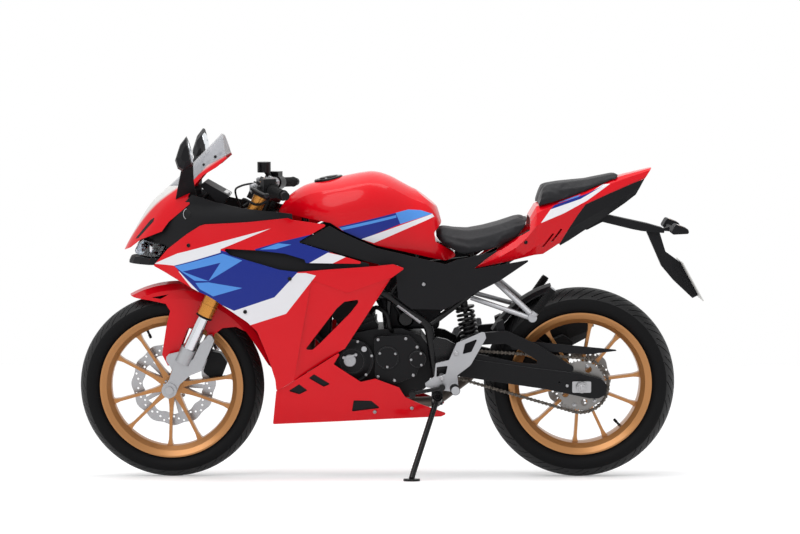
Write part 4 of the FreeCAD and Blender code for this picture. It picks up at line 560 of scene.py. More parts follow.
form = bmesh.new()
for s, ahead in ((484, 33), (694, 32)):
    for shift in (-9, 9):
        hex_bolt(form, fork(s + shift, ahead, LEG_SIDE), AHEAD, 0.0055)
for s in (20, 8):
    hex_bolt(form, fork(s, 21, LEG_SIDE), AHEAD, 0.005)
lathe(form, fork(726, 0, LEG_SIDE), UP, [(-0.002, 0.0205), (0.003, 0.0205), (0.005, 0.018), (0.005, 0.011),
                                         (0.012, 0.0105), (0.013, 0.009)], 24)
both_sides(form)
shown("fork_bolts", form, steel, "steering")

form = bmesh.new()
lathe(form, fork(256, 0, LEG_SIDE), UP, [(0.0, 0.021), (0.002, 0.0265), (0.008, 0.0265), (0.009, 0.022)], 28)
both_sides(form)
shown("fork_dust_seals", form, rubber, "steering")

form = bmesh.new()
CLIPS = (fork(485, 17, 136), fork(300, 28, 114))
brake_hose = smooth_line([mm(318, 226, 956), mm(302, 206, 966), mm(288, 176, 944), fork(660, 18, 131),
                          fork(560, 16, 133), CLIPS[0], fork(400, 22, 126), CLIPS[1], fork(226, 14, 127),
                          fork(180, -38, 127), fork(152, -78, 96)], 10)
sweep(form, brake_hose, 0.0045, 10)
shown("front_brake_hose", form, hose_rubber, "steering")
form = bmesh.new()
for end, toward in ((brake_hose[0], brake_hose[3]), (brake_hose[-1], brake_hose[-4])):
    lathe(form, end, toward - end, [(-0.004, 0.0075), (0.010, 0.0075), (0.022, 0.006), (0.026, 0.0048)], 12)
for place in CLIPS:
    lathe(form, place, UP, [(-0.005, 0.0068), (0.005, 0.0068)], 12)
shown("front_hose_fittings", form, steel, "steering")

# Bars and hand controls
# Ribbed rubber grips slide on clip-on bars, each with a bar-end weight. The lever perches are cast silver and
# hold black levers, with the clutch's cable and the switches' wires looping down behind the nose.
GRIP_END = mm(378, -318, 932)
GRIP_LENGTH = 0.118
GRIP_RADIUS = 0.016
RIB_PITCH = 0.0042
bar_root = fork(716, y=-118)
bar_line = (GRIP_END - bar_root).normalized()
grip_start = GRIP_END - bar_line * GRIP_LENGTH
smooth_black = finish("smooth black plastic", rgb(17, 17, 19), 0.3, scale=300.0, depth=0.00005,
                      specular_ior_level=0.22)
dress(smooth_black, "hand_controls")


def ribs(first, last, pitch, steps, low, high):
    """The profile of a row of ribs. Each rises and falls at four steps from its start."""
    profile = []
    at = first
    while at < last:
        profile += [(at + step, radius) for step, radius in zip(steps, (low, high, high, low))]
        at += pitch
    return profile


profile = [(0.0, GRIP_RADIUS + 0.004), (0.004, GRIP_RADIUS + 0.005), (0.006, GRIP_RADIUS + 0.001)]
profile += ribs(0.009, GRIP_LENGTH - 0.008, RIB_PITCH, (0, 0.0008, 0.0026, 0.0034), GRIP_RADIUS - 0.0016,
                GRIP_RADIUS)
profile += [(GRIP_LENGTH - 0.004, GRIP_RADIUS + 0.001), (GRIP_LENGTH, GRIP_RADIUS)]
form = bmesh.new()
lathe(form, grip_start, bar_line, profile, 24)
both_sides(form)
grips = shown("ribbed_grips", form, rubber, "steering", sharp=30)
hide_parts("hand_grips")

form = bmesh.new()
perch = grip_start - bar_line * 0.058
lathe(form, perch - bar_line * 0.0095, bar_line, [(0.0, 0.0185), (0.019, 0.0185)], 24)
knob = perch + mm(-44, -8, 12.5)
lathe(form, knob, Vector((0, 0, 1)), [(-0.018, 0.013), (0.0005, 0.013), (0.001, 0.010), (0.0035, 0.0095)], 20)
for shift in (-0.005, 0.005):
    hex_bolt(form, perch + mm(15, 10, 4) + bar_line * shift, mm(1, 0.6, 0.2), 0.004)
lathe(form, GRIP_END + bar_line * 0.0215, bar_line, [(-0.001, 0.0095), (0.0, 0.0095), (0.0004, 0.006)], 20)
both_sides(form)
shown("lever_perches", form, silver_cast, "steering")

form = bmesh.new()
cable = smooth_line([knob + mm(6, 16, -2), knob + mm(-8, 44, 2), mm(236, -150, 950), mm(214, -96, 930),
                     mm(228, -60, 880), fork(640, 30, -30)], 10)
sweep(form, cable, 0.0032, 9)
wires = smooth_line([perch + mm(24, 20, -12), mm(312, -160, 900), mm(280, -130, 890), mm(240, -104, 905),
                     mm(232, -70, 870), fork(620, 26, -20)], 10)
sweep(form, wires, 0.0042, 9)
shown("clutch_cable", form, hose_rubber, "steering")
form = bmesh.new()
lathe(form, cable[0], cable[3] - cable[0], [(-0.002, 0.006), (0.012, 0.006), (0.014, 0.0048), (0.024, 0.0044),
                                            (0.032, 0.0034)], 12)
shown("cable_adjuster", form, steel, "steering")
form = bmesh.new()
for shift, radius in ((-0.030, 0.0065), (-0.016, 0.0055)):
    lathe(form, grip_start + bar_line * shift + mm(14, 17, 0), mm(1, 0.9, 0.15),
          [(-0.004, radius), (0.0035, radius), (0.0045, radius * 0.8)], 16)
shown("switch_buttons", form, finish("grey button", rgb(120, 122, 124), 0.5, specular_ior_level=0.3),
      "steering")

# Frame, engine and radiator
# The frame is black enamelled steel tube. The engine's black covers are held by steel bolts round their
# edges, a silver cap closes the generator, and the radiator has fine fins.
SPROCKET_COVER = -118
GENERATOR = mm(582, -126, 394)
COVER_BOLTS = ((664, 460), (752, 463), (788, 436), (776, 346), (716, 329), (664, 341))
COVER_CAPS = (((694, -124, 402), 0.0335), ((790, -126, 398), 0.025))
PIVOT_BOLTS = (mm(866, -184, 345), mm(910, -184, 425), mm(903, -201, 319))
CAP_BAR = (mm(556, -143, 406), mm(594, -143, 415))
FINS_TOP = (353.5, 602)
FINS_LOW = (406.5, 402)
FIN_COUNT = 62
FIN_SECTION = ((0, 0), (6, 1.5), (6, 2.2), (0, 0.7))
upright = parked.inverted()
enamel = finish("black enamel", rgb(14, 14, 16), 0.28, scale=200.0, depth=0.00005, specular_ior_level=0.25,
                wear=0.1)
black_plastic = finish("grained black plastic", rgb(27, 27, 29), 0.5, scale=900.0, depth=0.0003,
                       specular_ior_level=0.14, wear=0.06)
radiator_bare = finish("bare radiator fins", rgb(88, 88, 90), 0.45, metallic=0.8, scale=500.0)
dress(enamel, "main_frame", "side_stand", "foot_levers")
dress(black_cast, "engine", "radiator", "swingarm", "rear_caliper")


def surface_of(holder):
    """A piece's surface on the upright bike, for finding where something lies on it."""
    places = [upright @ v.co for v in holder.data.vertices]
    return BVHTree.FromPolygons(places, [tuple(p.vertices) for p in holder.data.polygons])


surfaces = {}


def found_on(node, start, way):
    """The place on a node's surface that a line from the start meets, and the way that surface faces."""
    if node not in surfaces:
        surfaces[node] = surface_of(cad[node])
    place, normal = surfaces[node].ray_cast(start, Vector(way).normalized())[:2]
    if place is None:
        raise ValueError("nothing of %s at %s" % (node, tuple(start)))
    return place, normal if normal.dot(way) < 0 else -normal


def rounded(corners, radius, steps=4):
    """A polygon of (x, z) with its corners rounded."""
    outline = []
    points = [Vector(c) for c in corners]
    for before, corner, after in zip(points[-1:] + points[:-1], points, points[1:] + points[:1]):
        a = corner + (before - corner).normalized() * min(radius, (before - corner).length * 0.45)
        b = corner + (after - corner).normalized() * min(radius, (after - corner).length * 0.45)
        for i in range(steps + 1):
            t = i / steps
            outline.append(tuple(a * (1 - t) ** 2 + corner * 2 * t * (1 - t) + b * t ** 2))
    return outline


def laid_on(form, node, outline, way, proud, sunk=0.0008, step=0.012):
    """A thin plate that follows a node's surface, from its outline in front of it and the way it looks."""
    way = Vector(way).normalized()
    sheet = bmesh.new()
    sheet.faces.new([sheet.verts.new(p) for p in outline])
    bmesh.ops.triangulate(sheet, faces=sheet.faces[:])
    first = way.orthogonal().normalized()
    for cut in (first, way.cross(first)):
        reaches = [p.dot(cut) for p in outline]
        at = min(reaches) + step / 2
        while at < max(reaches):
            bmesh.ops.bisect_plane(sheet, geom=sheet.verts[:] + sheet.edges[:] + sheet.faces[:],
                                   plane_co=cut * at, plane_no=cut)
            at += step
    top, under = {}, {}
    for v in sheet.verts:
        place = found_on(node, v.co, way)[0]
        top[v] = form.verts.new(place - way * proud)
        under[v] = form.verts.new(place + way * sunk)
    for face in sheet.faces:
        form.faces.new([top[v] for v in face.verts])
        form.faces.new([under[v] for v in reversed(face.verts)])
    for rim in sheet.edges:
        if rim.is_boundary:
            a, b = rim.verts
            form.faces.new((top[a], top[b], under[b], under[a]))
    sheet.free()


form = bmesh.new()
for place in ring_of(GENERATOR, 0.0635, 6, math.radians(14)):
    hex_bolt(form, place, -ACROSS, 0.0048)
for x, z in COVER_BOLTS:
    hex_bolt(form, mm(x, SPROCKET_COVER, z), -ACROSS, 0.005)
for place in ring_of(mm(694, -124, 402), 0.0285, 3, 0.5) + ring_of(mm(790, -126, 398), 0.021, 3, 1.1):
    socket_bolt(form, place, -ACROSS, 0.0044)
for place in ring_of(mm(640, 122, 400), 0.079, 10, 0.2):
    hex_bolt(form, place, ACROSS, 0.0054)
for place in PIVOT_BOLTS:
    hex_bolt(form, place, -ACROSS, 0.0085)
    hex_bolt(form, Vector((place.x, -place.y, place.z)), ACROSS, 0.0085)
shown("engine_bolts", form, steel, "frame")

form = bmesh.new()
lathe(form, mm(575, -138, 396), -ACROSS, [(-0.001, 0.0195), (0.003, 0.0195), (0.0045, 0.018), (0.0045, 0.0135),
                                          (0.0025, 0.013), (0.0025, 0.006), (0.004, 0.0055)], 30)
lathe(form, mm(620, -135, 432), -ACROSS, [(-0.003, 0.009), (0.002, 0.009), (0.0028, 0.008)], 20)
sweep(form, CAP_BAR, 0.0035, 4)
for end in CAP_BAR:
    lathe(form, end, -ACROSS, [(-0.018, 0.005), (0.003, 0.005), (0.004, 0.004)], 12)
shown("generator_cap", form, silver_cast, "frame")

form = bmesh.new()
for radius, depth in ((0.0375, 12.1), (0.0665, 0.2)):
    rim = ring_of(GENERATOR - mm(0, depth, 0), radius, 48)
    sweep(form, rim + rim[:1], 0.0013, 6)
for centre, radius in COVER_CAPS:
    rim = ring_of(mm(*centre), radius, 36)
    sweep(form, rim + rim[:1], 0.0014, 6)
shown("cover_ribs", form, black_cast, "frame")

form = bmesh.new()
for number in range(FIN_COUNT):
    share = (number + 0.5) / FIN_COUNT
    x, z = (top + (low - top) * share for top, low in zip(FINS_TOP, FINS_LOW))
    walled(form, [[form.verts.new(mm(x + dx, y, z + dz)) for dx, dz in FIN_SECTION] for y in (-146, 146)])
shown("radiator_fins", form, radiator_bare, "frame")

# Air intake, starter motor and hoses
# Dark parts that show through the openings: a rubber throat, an enamelled motor and rubber hoses. The air box
# and the fan's shroud are tapered plastic boxes with rounded edges, plainer than moulded ones would be.
DARK_BOXES = (("air_box", mm(770, 0, 584), (0.220, 0.100, 0.200)),
              ("fan_shroud", mm(492, 0, 512), (0.050, 0.150, 0.136)))
BOX_TAPER = 0.80
ENGINE_HOSES = (
    (((640, -60, 540), (660, -96, 560), (690, -108, 540), (700, -104, 500), (712, -84, 478)), 0.007),
    (((560, -50, 560), (600, -84, 590), (660, -96, 596), (712, -84, 570), (740, -60, 520)), 0.005),
    (((520, -80, 430), (492, -98, 446), (470, -104, 470), (448, -110, 500), (424, -120, 520)), 0.009))
form = bmesh.new()
lathe(form, mm(668, 0, 552), mm(0.86, 0, 0.5), [(0.0, 0.026), (0.018, 0.030), (0.020, 0.034), (0.028, 0.034),
                                               (0.030, 0.029), (0.070, 0.027), (0.072, 0.036), (0.082, 0.036),
                                               (0.084, 0.032), (0.130, 0.034)], 28)
lathe(form, mm(716, -46, 574), ACROSS, [(0.0, 0.010), (0.002, 0.017), (0.014, 0.017), (0.016, 0.012),
                                        (0.030, 0.012)], 20)
shown("intake_throat", form, rubber, "frame")
form = bmesh.new()
lathe(form, mm(752, -72, 520), ACROSS, [(0.0, 0.012), (0.001, 0.021), (0.010, 0.025), (0.012, 0.027),
                                        (0.100, 0.027), (0.102, 0.0245), (0.124, 0.0245), (0.128, 0.018)], 28)
lathe(form, mm(752, -40, 548), mm(0.1, 0, 1), [(-0.006, 0.007), (0.004, 0.007), (0.005, 0.004),
                                              (0.012, 0.004)], 12)
shown("starter_motor", form, enamel, "frame")
for name, middle, size in DARK_BOXES:
    form = bmesh.new()
    for v in bmesh.ops.create_cube(form, size=1.0)["verts"]:
        taper = BOX_TAPER if v.co.z < 0 else 1.0
        v.co = middle + Vector((v.co.x * size[0] * taper, v.co.y * size[1], v.co.z * size[2]))
    bmesh.ops.bevel(form, geom=form.edges[:] + form.verts[:], offset=0.012, segments=3, affect="EDGES",
                    profile=0.5)
    shown(name, form, black_plastic, "frame")
form = bmesh.new()
for places, radius in ENGINE_HOSES:
    sweep(form, smooth_line([mm(*place) for place in places], 8), radius, 12)
shown("engine_hoses", form, hose_rubber, "frame")

# Frame plate
# A small blank plate of bare aluminium, riveted to the frame's left tube. Its shape follows the tube.
form = bmesh.new()
plate = rounded(((722, 566), (728, 572), (802, 518), (796, 511)), 2)
laid_on(form, "main_frame", [mm(x, -260, z) for x, z in plate], ACROSS, 0.0012, step=0.008)
shown("blank_frame_plate", form, silver_cast, "frame")

# Exhaust
# A stainless header runs under the engine to a short silencer on the right, enamelled black. Four screws hold
# a plain black cover on its side.
HEADER_STEEL = rgb(96, 88, 82)
SILENCER_BLACK = rgb(20, 20, 21)
silencer_black = finish("silencer enamel", SILENCER_BLACK, 0.42, scale=700.0, depth=0.0002,
                        specular_ior_level=0.2, wear=0.1)
SILENCER_START = mm(1040, 172, 392)
SILENCER_END = mm(1350, 176, 478)
BARE_UP_TO = 1.045
BARE_SHARPNESS = 80.0
COVER_PROUD = 0.0025
COVER_CORNERS = ((52, 44), (90, 48), (170, 49), (238, 48), (238, -44), (170, -45), (90, -44), (52, -40))
COVER_SCREWS = ((66, 30), (66, -28), (226, 34), (226, -30))

place_tree, _, place_out = group_tree("upright place", (), (("Place", "Vector"),))
leaned = shader_node(place_tree, "TexCoord", {}).outputs["Object"]
place_turn = shader_node(place_tree, "Mapping", {"Vector": leaned, "Location": upright.translation,
                                                 "Rotation": upright.to_euler()})
place_tree.links.new(place_turn.outputs[0], place_out["Place"])


def upright_place(tree):
    """The place on the upright bike, for masks that follow its side view."""
    return shader_node(tree, "Group", {}, node_tree=place_tree).outputs["Place"]


def place_parts(tree):
    """The place on the upright bike as x, y and z."""
    return shader_node(tree, "SeparateXYZ", {0: upright_place(tree)}).outputs


def heat_tinted(tree):
    """Bare steel from the engine to the silencer, and black enamel from there on."""
    back = math_node(tree, "SUBTRACT", place_parts(tree)["X"], BARE_UP_TO)
    black = math_node(tree, "MULTIPLY", back, BARE_SHARPNESS, clamp=True)
    return mixed(tree, black, HEADER_STEEL, SILENCER_BLACK)


dress(finish("exhaust pipe", heat_tinted, 0.4, scale=500.0, depth=0.0001, metallic=0.35, tone=0.4,
             specular_ior_level=0.25), "exhaust")
silencer_way = (SILENCER_END - SILENCER_START).normalized()
silencer_up = Vector((-silencer_way.z, 0, silencer_way.x))


def beside_silencer(along, high):
    """A place to the right of the silencer, in millimetres along it and up from its middle."""
    return SILENCER_START + mm(0, 120, 0) + silencer_way * along / 1000 + silencer_up * high / 1000


form = bmesh.new()
laid_on(form, "exhaust", [beside_silencer(*corner) for corner in COVER_CORNERS], -ACROSS, COVER_PROUD,
        step=0.015)
shown("silencer_cover", form, silencer_black, "frame")
form = bmesh.new()
for corner in COVER_SCREWS:
    place = found_on("exhaust", beside_silencer(*corner), -ACROSS)[0]
    socket_bolt(form, place + ACROSS * COVER_PROUD, ACROSS, 0.005)
shown("silencer_screws", form, steel, "frame")

# Rear suspension and chain guard
# One coil spring in black wire round the damper's body, with preload rings and rubber-bushed eyes. The
# swingarm is black, with a flanged nut on the axle and a screw for the chain's tension at each end.
SHOCK_TOP = mm(930, 0, 612)
SHOCK_LOW = mm(968, 0, 398)
COIL_TURNS = 6.5
COIL_LOW = 0.0555
COIL_LENGTH = 0.089
COIL_RADIUS = 0.0265
WIRE_RADIUS = 0.0046
shock_way = (SHOCK_TOP - SHOCK_LOW).normalized()
shock_first = shock_way.orthogonal().normalized()
shock_second = shock_way.cross(shock_first)
spring_paint = finish("spring enamel", rgb(26, 26, 28), 0.3, scale=400.0, specular_ior_level=0.4)
form = bmesh.new()
damper = [(0.0, 0.0125), (0.044, 0.0125), (0.044, 0.032), (0.049, 0.0325), (0.051, 0.030), (0.051, 0.0175),
          (0.108, 0.0175), (0.110, 0.0075), (0.149, 0.0075), (0.149, 0.030), (0.152, 0.0325), (0.157, 0.032),
          (0.158, 0.0125), (0.200, 0.0125)]
lathe(form, SHOCK_LOW, shock_way, damper, 28)
for eye in (SHOCK_LOW, SHOCK_TOP):
    lathe(form, eye - mm(0, 14, 0), ACROSS, [(0, 0.0165), (0.001, 0.017), (0.027, 0.017), (0.028, 0.0165)], 24)
shock = shown("shock_body", form, enamel, "frame")
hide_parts("shock_absorber")
form = bmesh.new()
coil = []
for number in range(int(COIL_TURNS * 20) + 1):
    share = number / (COIL_TURNS * 20)
    turn = 2 * math.pi * COIL_TURNS * share
    coil.append(SHOCK_LOW + shock_way * (COIL_LOW + COIL_LENGTH * share)
                + (shock_first * math.cos(turn) + shock_second * math.sin(turn)) * COIL_RADIUS)
sweep(form, coil, WIRE_RADIUS, 10)
shown("shock_spring", form, spring_paint, "frame")
form = bmesh.new()
lathe(form, SHOCK_TOP - shock_way * 0.040, shock_way, [(0, 0.0135), (0.001, 0.0165), (0.012, 0.0165),
                                                       (0.013, 0.0135)], 24)
shown("damper_cap", form, finish("red damper cap", rgb(186, 20, 30), 0.35, specular_ior_level=0.3), "frame")
form = bmesh.new()
for side in (-1, 1):
    start = mm(1311, side * 240, 307)
    out = ACROSS * side
    place = found_on("rear_axle", start, -out)[0]
    lathe(form, place, out, [(-0.001, 0.0175), (0.002, 0.0175)], 24)
    lathe(form, place, out, [(0.001, 0.0145), (0.009, 0.0145), (0.0105, 0.0125)], 6)
    lathe(form, place, out, [(0.004, 0.0075), (0.0135, 0.0075), (0.0145, 0.0065)], 16)
    socket_bolt(form, found_on("swingarm", start + mm(-46, 0, 4), -out)[0], out, 0.0055)
shown("axle_nuts", form, steel, "frame")

# Footrests
# Cast aluminium hangers, bolted to the frame, carry pegs with ribbed rubber covers pushed over them. The toe
# end of the gear lever has one as well, on the left only.
TOE_BEFORE = 0.80
dress(silver_cast, "footrest_hangers", "passenger_footrests")
form = bmesh.new()
for start, end, radius, pitch in ((mm(904, -214, 319.3), mm(906, -284, 322.9), 0.0148, 0.0062),
                                  (mm(1160, -167.2, 554), mm(1213, -175.8, 628.6), 0.0128, 0.0062),
                                  (mm(772, -222, 303.2), mm(772, -257, 304), 0.0106, 0.005)):
    length = (end - start).length
    ribbed = ribs(0.002, length - 0.005, pitch, (0, 0.0012, 0.0036, 0.0046), radius * 0.9, radius)
    lathe(form, start, end - start, [(0.0, radius * 0.9)] + ribbed + [(length, radius * 0.88)], 18)
both_sides(form)
toe = [v for v in form.verts if v.co.y > 0 and v.co.x < TOE_BEFORE]
bmesh.ops.delete(form, geom=toe, context="VERTS")
shown("peg_rubbers", form, rubber, "frame", sharp=25)

# Painted panels
# The fairing, tank cover, tail and front mudguard are moulded plastic in gloss red, with flat patches of
# blue, light blue and white under one clear coat. A patch is a polygon of the upright side view.
RED = rgb(206, 2, 26)
BLUE = rgb(18, 40, 128)
SKY = rgb(78, 138, 214)
WHITE = rgb(222, 222, 226)
MOST_SIDES = 6
EDGE_SHARPNESS = 1500.0

patch_tree, patch_in, patch_out = group_tree(
    "colour patch", [("Place", "Vector")] + [("Side %d" % number, "Vector") for number in range(MOST_SIDES)],
    (("Mask", "Float"),))
parts = shader_node(patch_tree, "SeparateXYZ", {0: patch_in["Place"]}).outputs
plane = shader_node(patch_tree, "CombineXYZ", {0: parts["X"], 1: parts["Z"], 2: -1.0}).outputs[0]
mask = None
for number in range(MOST_SIDES):
    dot = shader_node(patch_tree, "VectorMath", {0: plane, 1: patch_in["Side %d" % number]},
                      operation="DOT_PRODUCT")
    inside = math_node(patch_tree, "MULTIPLY", dot.outputs["Value"], EDGE_SHARPNESS)
    inside = math_node(patch_tree, "ADD", inside, 0.5, clamp=True)
    mask = inside if mask is None else math_node(patch_tree, "MULTIPLY", mask, inside)
patch_tree.links.new(mask, patch_out["Mask"])


def edge_vectors(corners):
    """Each side of a polygon as (nx, nz, distance), with the normal pointing in."""
    points = [Vector((x, z)) / 1000 for x, z in corners]
    turn = sum(a.cross(b) for a, b in zip(points, points[1:] + points[:1]))
    sides = []
    for a, b in zip(points, points[1:] + points[:1]):
        along = (b - a).normalized()
        normal = Vector((-along.y, along.x)) * (1 if turn > 0 else -1)
        sides.append((normal.x, normal.y, normal.dot(a)))
    return sides + [(0, 0, -1)] * (MOST_SIDES - len(sides))


def striped(patches):
    """The colour of a panel: red, with each patch painted over what came before."""
    def colour(tree):
        place = upright_place(tree)
        shade = RED
        for paint, corners in patches:
            sides = {"Side %d" % number: side for number, side in enumerate(edge_vectors(corners))}
            patch = shader_node(tree, "Group", {"Place": place, **sides}, node_tree=patch_tree)
            shade = mixed(tree, patch.outputs["Mask"], shade, paint)
        return shade
    return colour


def gloss_paint(name, colour):
    """A moulded panel's paint under its clear coat."""
    return finish(name, colour, 0.3, scale=160.0, depth=0.00003, tone=0.05, spread=0.05,
                  specular_ior_level=0.12, coat_weight=0.5, coat_roughness=0.05, coat_ior=1.35)


side_patches = [
    (WHITE, [(24, 699), (174, 752), (440, 682), (478, 682), (378, 554), (200, 496)]),
    (BLUE, [(24, 699), (174, 752), (420, 690), (342, 606), (215, 563), (118, 609)]),
    (SKY, [(26, 697), (180, 742), (242, 721), (136, 656), (92, 656)]),
    (BLUE, [(53, 683), (174, 714), (136, 656)]),
    (SKY, [(86, 660), (136, 652), (354, 668), (150, 608), (108, 630)]),
    (WHITE, [(-44, 701), (35, 738), (174, 778), (174, 745), (24, 699)]),
    (WHITE, [(174, 778), (329, 819), (174, 755.5)]),
    (BLUE, [(281, 756), (354, 777), (457, 801), (520, 747), (440, 708), (290, 742)]),
    (SKY, [(297, 755), (354, 774), (395, 770), (347, 756)]),
    (WHITE, [(435, 704), (509, 745), (566, 732), (509, 704)]),
]
tank_patches = [
    (BLUE, [(540, 822), (720, 864), (736, 829), (614, 782), (560, 806)]),
    (SKY, [(720, 864), (760, 873), (800, 870), (836, 858), (735, 828)]),
    (SKY, [(545, 819), (722, 857), (722, 849), (552, 811)]),
    (WHITE, [(612, 783), (836, 858), (842, 849), (652, 770)]),
]
tail_patches = [
    (WHITE, [(1178, 830), (1210, 873), (1305, 905), (1326, 899), (1250, 859)]),
    (WHITE, [(1305, 905), (1377, 949), (1400, 951), (1326, 899)]),
    (BLUE, [(1209, 872), (1221, 885), (1330, 922), (1305, 904)]),
    (BLUE, [(1305, 904), (1330, 922), (1388, 951)]),
    (SKY, [(1232, 891), (1240, 896), (1306, 918), (1296, 910)]),
]
dress(gloss_paint("side cowl paint", striped(side_patches)), "side_cowls")
dress(gloss_paint("tank paint", striped(tank_patches)), "fuel_tank")
dress(gloss_paint("tail paint", striped(tail_patches)), "tail_cowl")
dress(gloss_paint("plain red paint", RED), "lower_cowls", "front_fender")

# Nose
# The beak is one gloss red moulding. A silver-white painted reflection of the white room runs down its middle,
# widens up to the screen and fades into the red.
REFLECTION_LOW = 0.742
REFLECTION_SPREAD = 0.34
REFLECTION_FADE = 0.014
REFLECTION_WHITE = rgb(206, 204, 202)


# Painted reflection: silver-white down the beak's middle, wider higher up, fading into the red at its sides.
def painted_reflection(tree):
    parts = place_parts(tree)
    aside = math_node(tree, "ABSOLUTE", parts["Y"], 0)
    width = math_node(tree, "MULTIPLY", math_node(tree, "SUBTRACT", parts["Z"], REFLECTION_LOW), REFLECTION_SPREAD)
    share = math_node(tree, "ADD", math_node(tree, "SUBTRACT", width, aside), REFLECTION_FADE)
    share = math_node(tree, "DIVIDE", share, REFLECTION_FADE, clamp=True)
    return mixed(tree, share, RED, REFLECTION_WHITE)


dress(gloss_paint("nose paint with painted reflection", painted_reflection), "front_cowl")
dress(black_plastic, "side_covers", "tail_undertray", "rear_mudguards", "plate_carrier", "front_inner_panels",
      "instrument_panel", "mirrors")

# Panel fixings and trims
# Screws with sockets hold the panels to tabs behind them: black ones on the side cowls and the tail, steel ones
# on the side covers and the lower cowls. A black slit runs along each side of the beak, and an oval cap closes
# a hole in the black trim beside the screen. A silver crescent along the cap's front edge is a painted
# highlight.
TRIM_CAP = mm(66, -400, 861)
BLACK_SCREWS = (("side_cowls", 72, 765), ("side_cowls", 390, 664), ("side_cowls", 250, 560),
                ("tail_cowl", 1130, 770))
STEEL_SCREWS = (("lower_cowls", 653.6, 230.7), ("lower_cowls", 771, 242), ("side_covers", 808, 640),
                ("side_covers", 724, 695.3))
for name, screws, finished, slot in (("cowl_screws", BLACK_SCREWS, smooth_black, "black_plastic"),
                                     ("cover_screws", STEEL_SCREWS, steel, "steel")):
    form = bmesh.new()
    for panel, x, z in screws:
        place, facing = found_on(panel, mm(x, -400, z), ACROSS)
        socket_bolt(form, place, facing, 0.0062)
    both_sides(form)
    shown(name, form, finished, "frame")


def around_cap(turn, radius):
    """A place in front of the oval cap's rim."""
    return TRIM_CAP + Vector((math.cos(turn), 0, math.sin(turn) * 1.3)) * radius


form = bmesh.new()
slit = rounded(((-108, 776), (-98, 778), (-46, 834), (-44, 846), (-58, 836)), 3)
laid_on(form, "front_cowl", [mm(x, -400, z) for x, z in slit], ACROSS, 0.0007, step=0.010)
turns = [2 * math.pi * number / 24 for number in range(24)]
laid_on(form, "front_inner_panels", [around_cap(turn, 0.011) for turn in turns], ACROSS, 0.0009, step=0.01)
both_sides(form)
shown("nose_trims", form, smooth_black, "frame")
# The painted highlight: a silver crescent round the front half of the oval cap, in place of the glint in its
# hollow.
form = bmesh.new()
rim = [found_on("front_inner_panels", around_cap(math.radians(degrees), 0.0125), ACROSS)[0] - mm(0, 0.6, 0)
       for degrees in range(100, 260, 10)]
sweep(form, rim, 0.0013, 8)
both_sides(form)
shown("trim_cap_painted_highlights", form, silver_cast, "frame")

# Windscreen
# A thin smoked screen, screwed to the beak by four black round-headed screws on each side. It is see-through,
# so the display shows behind it.
dress(finish("smoked screen", rgb(168, 170, 176), 0.07, scale=60.0, depth=0, tone=0.02, spread=0.02,
             alpha=0.5, specular_ior_level=0.5), "windscreen")
form = bmesh.new()
for x, z in ((40, 960), (78, 974), (114, 1012), (152, 1038)):
    place, facing = found_on("windscreen", mm(x, -400, z), ACROSS)
    socket_bolt(form, place, facing, 0.005)
both_sides(form)
shown("screen_screws", form, smooth_black, "frame")

# Headlamps
# Each lamp is a clear moulded lens over the nose's dark liner, with two chromed bowls behind it and a white
# light guide along its upper edge. The lens is the CAD's solid made hollow.
clear_lens = finish("clear lens", rgb(232, 236, 240), 0.04, scale=60.0, depth=0, tone=0.02, spread=0.02,
                    transmission_weight=1.0, ior=1.04, coat_weight=0.7, coat_roughness=0.03)
chrome = finish("lamp chrome", rgb(222, 224, 228), 0.12, scale=300.0, depth=0, metallic=1.0, spread=0.04)
guide_white = finish("white light guide", rgb(235, 240, 246), 0.3, depth=0, tone=0.02)
LENS_WALL = 0.002
LENS_CURVE = 0.0068
BOWL = ((0.0, 0.004), (0.003, 0.010), (0.010, 0.0155), (0.018, 0.018), (0.0185, 0.0192), (0.010, 0.0168),
        (0.003, 0.0112), (-0.001, 0.004))
lens = bpy.data.objects.new("headlight_lenses", cad["headlights"].data.copy())
scene.collection.objects.link(lens)
lens.data.materials.clear()
lens.data.materials.append(clear_lens)
hollow = lens.modifiers.new("wall", "SOLIDIFY")
hollow.thickness = LENS_WALL
hollow.offset = -1
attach(lens, "frame")
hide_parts("headlights")
form = bmesh.new()
for across, size in ((40, 0.72), (78, 1)):
    centre = mm(LENS_CURVE * across ** 2 - 83, -across, 746)
    lathe(form, centre, mm(-1, -0.12, -0.05), [(along, radius * size) for along, radius in BOWL], 28)
both_sides(form)
shown("headlight_bowls", form, chrome, "frame")
form = bmesh.new()
guide = [mm(LENS_CURVE * y ** 2 - 78, -y, 765 - 0.02 * (y - 40)) for y in range(30, 104, 6)]
sweep(form, guide, 0.0022, 8)
both_sides(form)
shown("headlight_guides", form, guide_white, "frame")

# Mirrors
# Black moulded heads on arms from the nose, each with a bright silvered glass set into its rear face. The
# glass is cut to a rounded outline inside the head's edge.
GLASS_OUTLINE = ((1028, -232), (1034, -322), (1058, -338), (1088, -328), (1098, -290), (1092, -238),
                 (1068, -226))
mirror_glass = finish("mirror glass", rgb(214, 220, 226), 0.03, scale=60.0, depth=0, metallic=1.0, tone=0.01,
                      spread=0.01)
form = bmesh.new()
outline = [mm(300, y, z) for z, y in rounded(GLASS_OUTLINE, 10)]
laid_on(form, "mirrors", outline, mm(-1, 0, 0), 0.0008, step=0.02)
both_sides(form)
shown("mirror_glasses", form, mirror_glass, "frame")

# Instrument panel
# A black plastic case stands behind the screen. It holds one dark display under a glossy pane, which is off
# while the bike is parked.
display = finish("dark display", rgb(26, 30, 34), 0.08, scale=80.0, depth=0, tone=0.05, coat_weight=0.6)
form = bmesh.new()
outline = [mm(260, y, z) for z, y in rounded(((921, -62), (921, 62), (950, 62), (950, -62)), 8)]
laid_on(form, "instrument_panel", outline, mm(-1, 0, -0.3), 0.001, step=0.03)
shown("display", form, display, "frame")

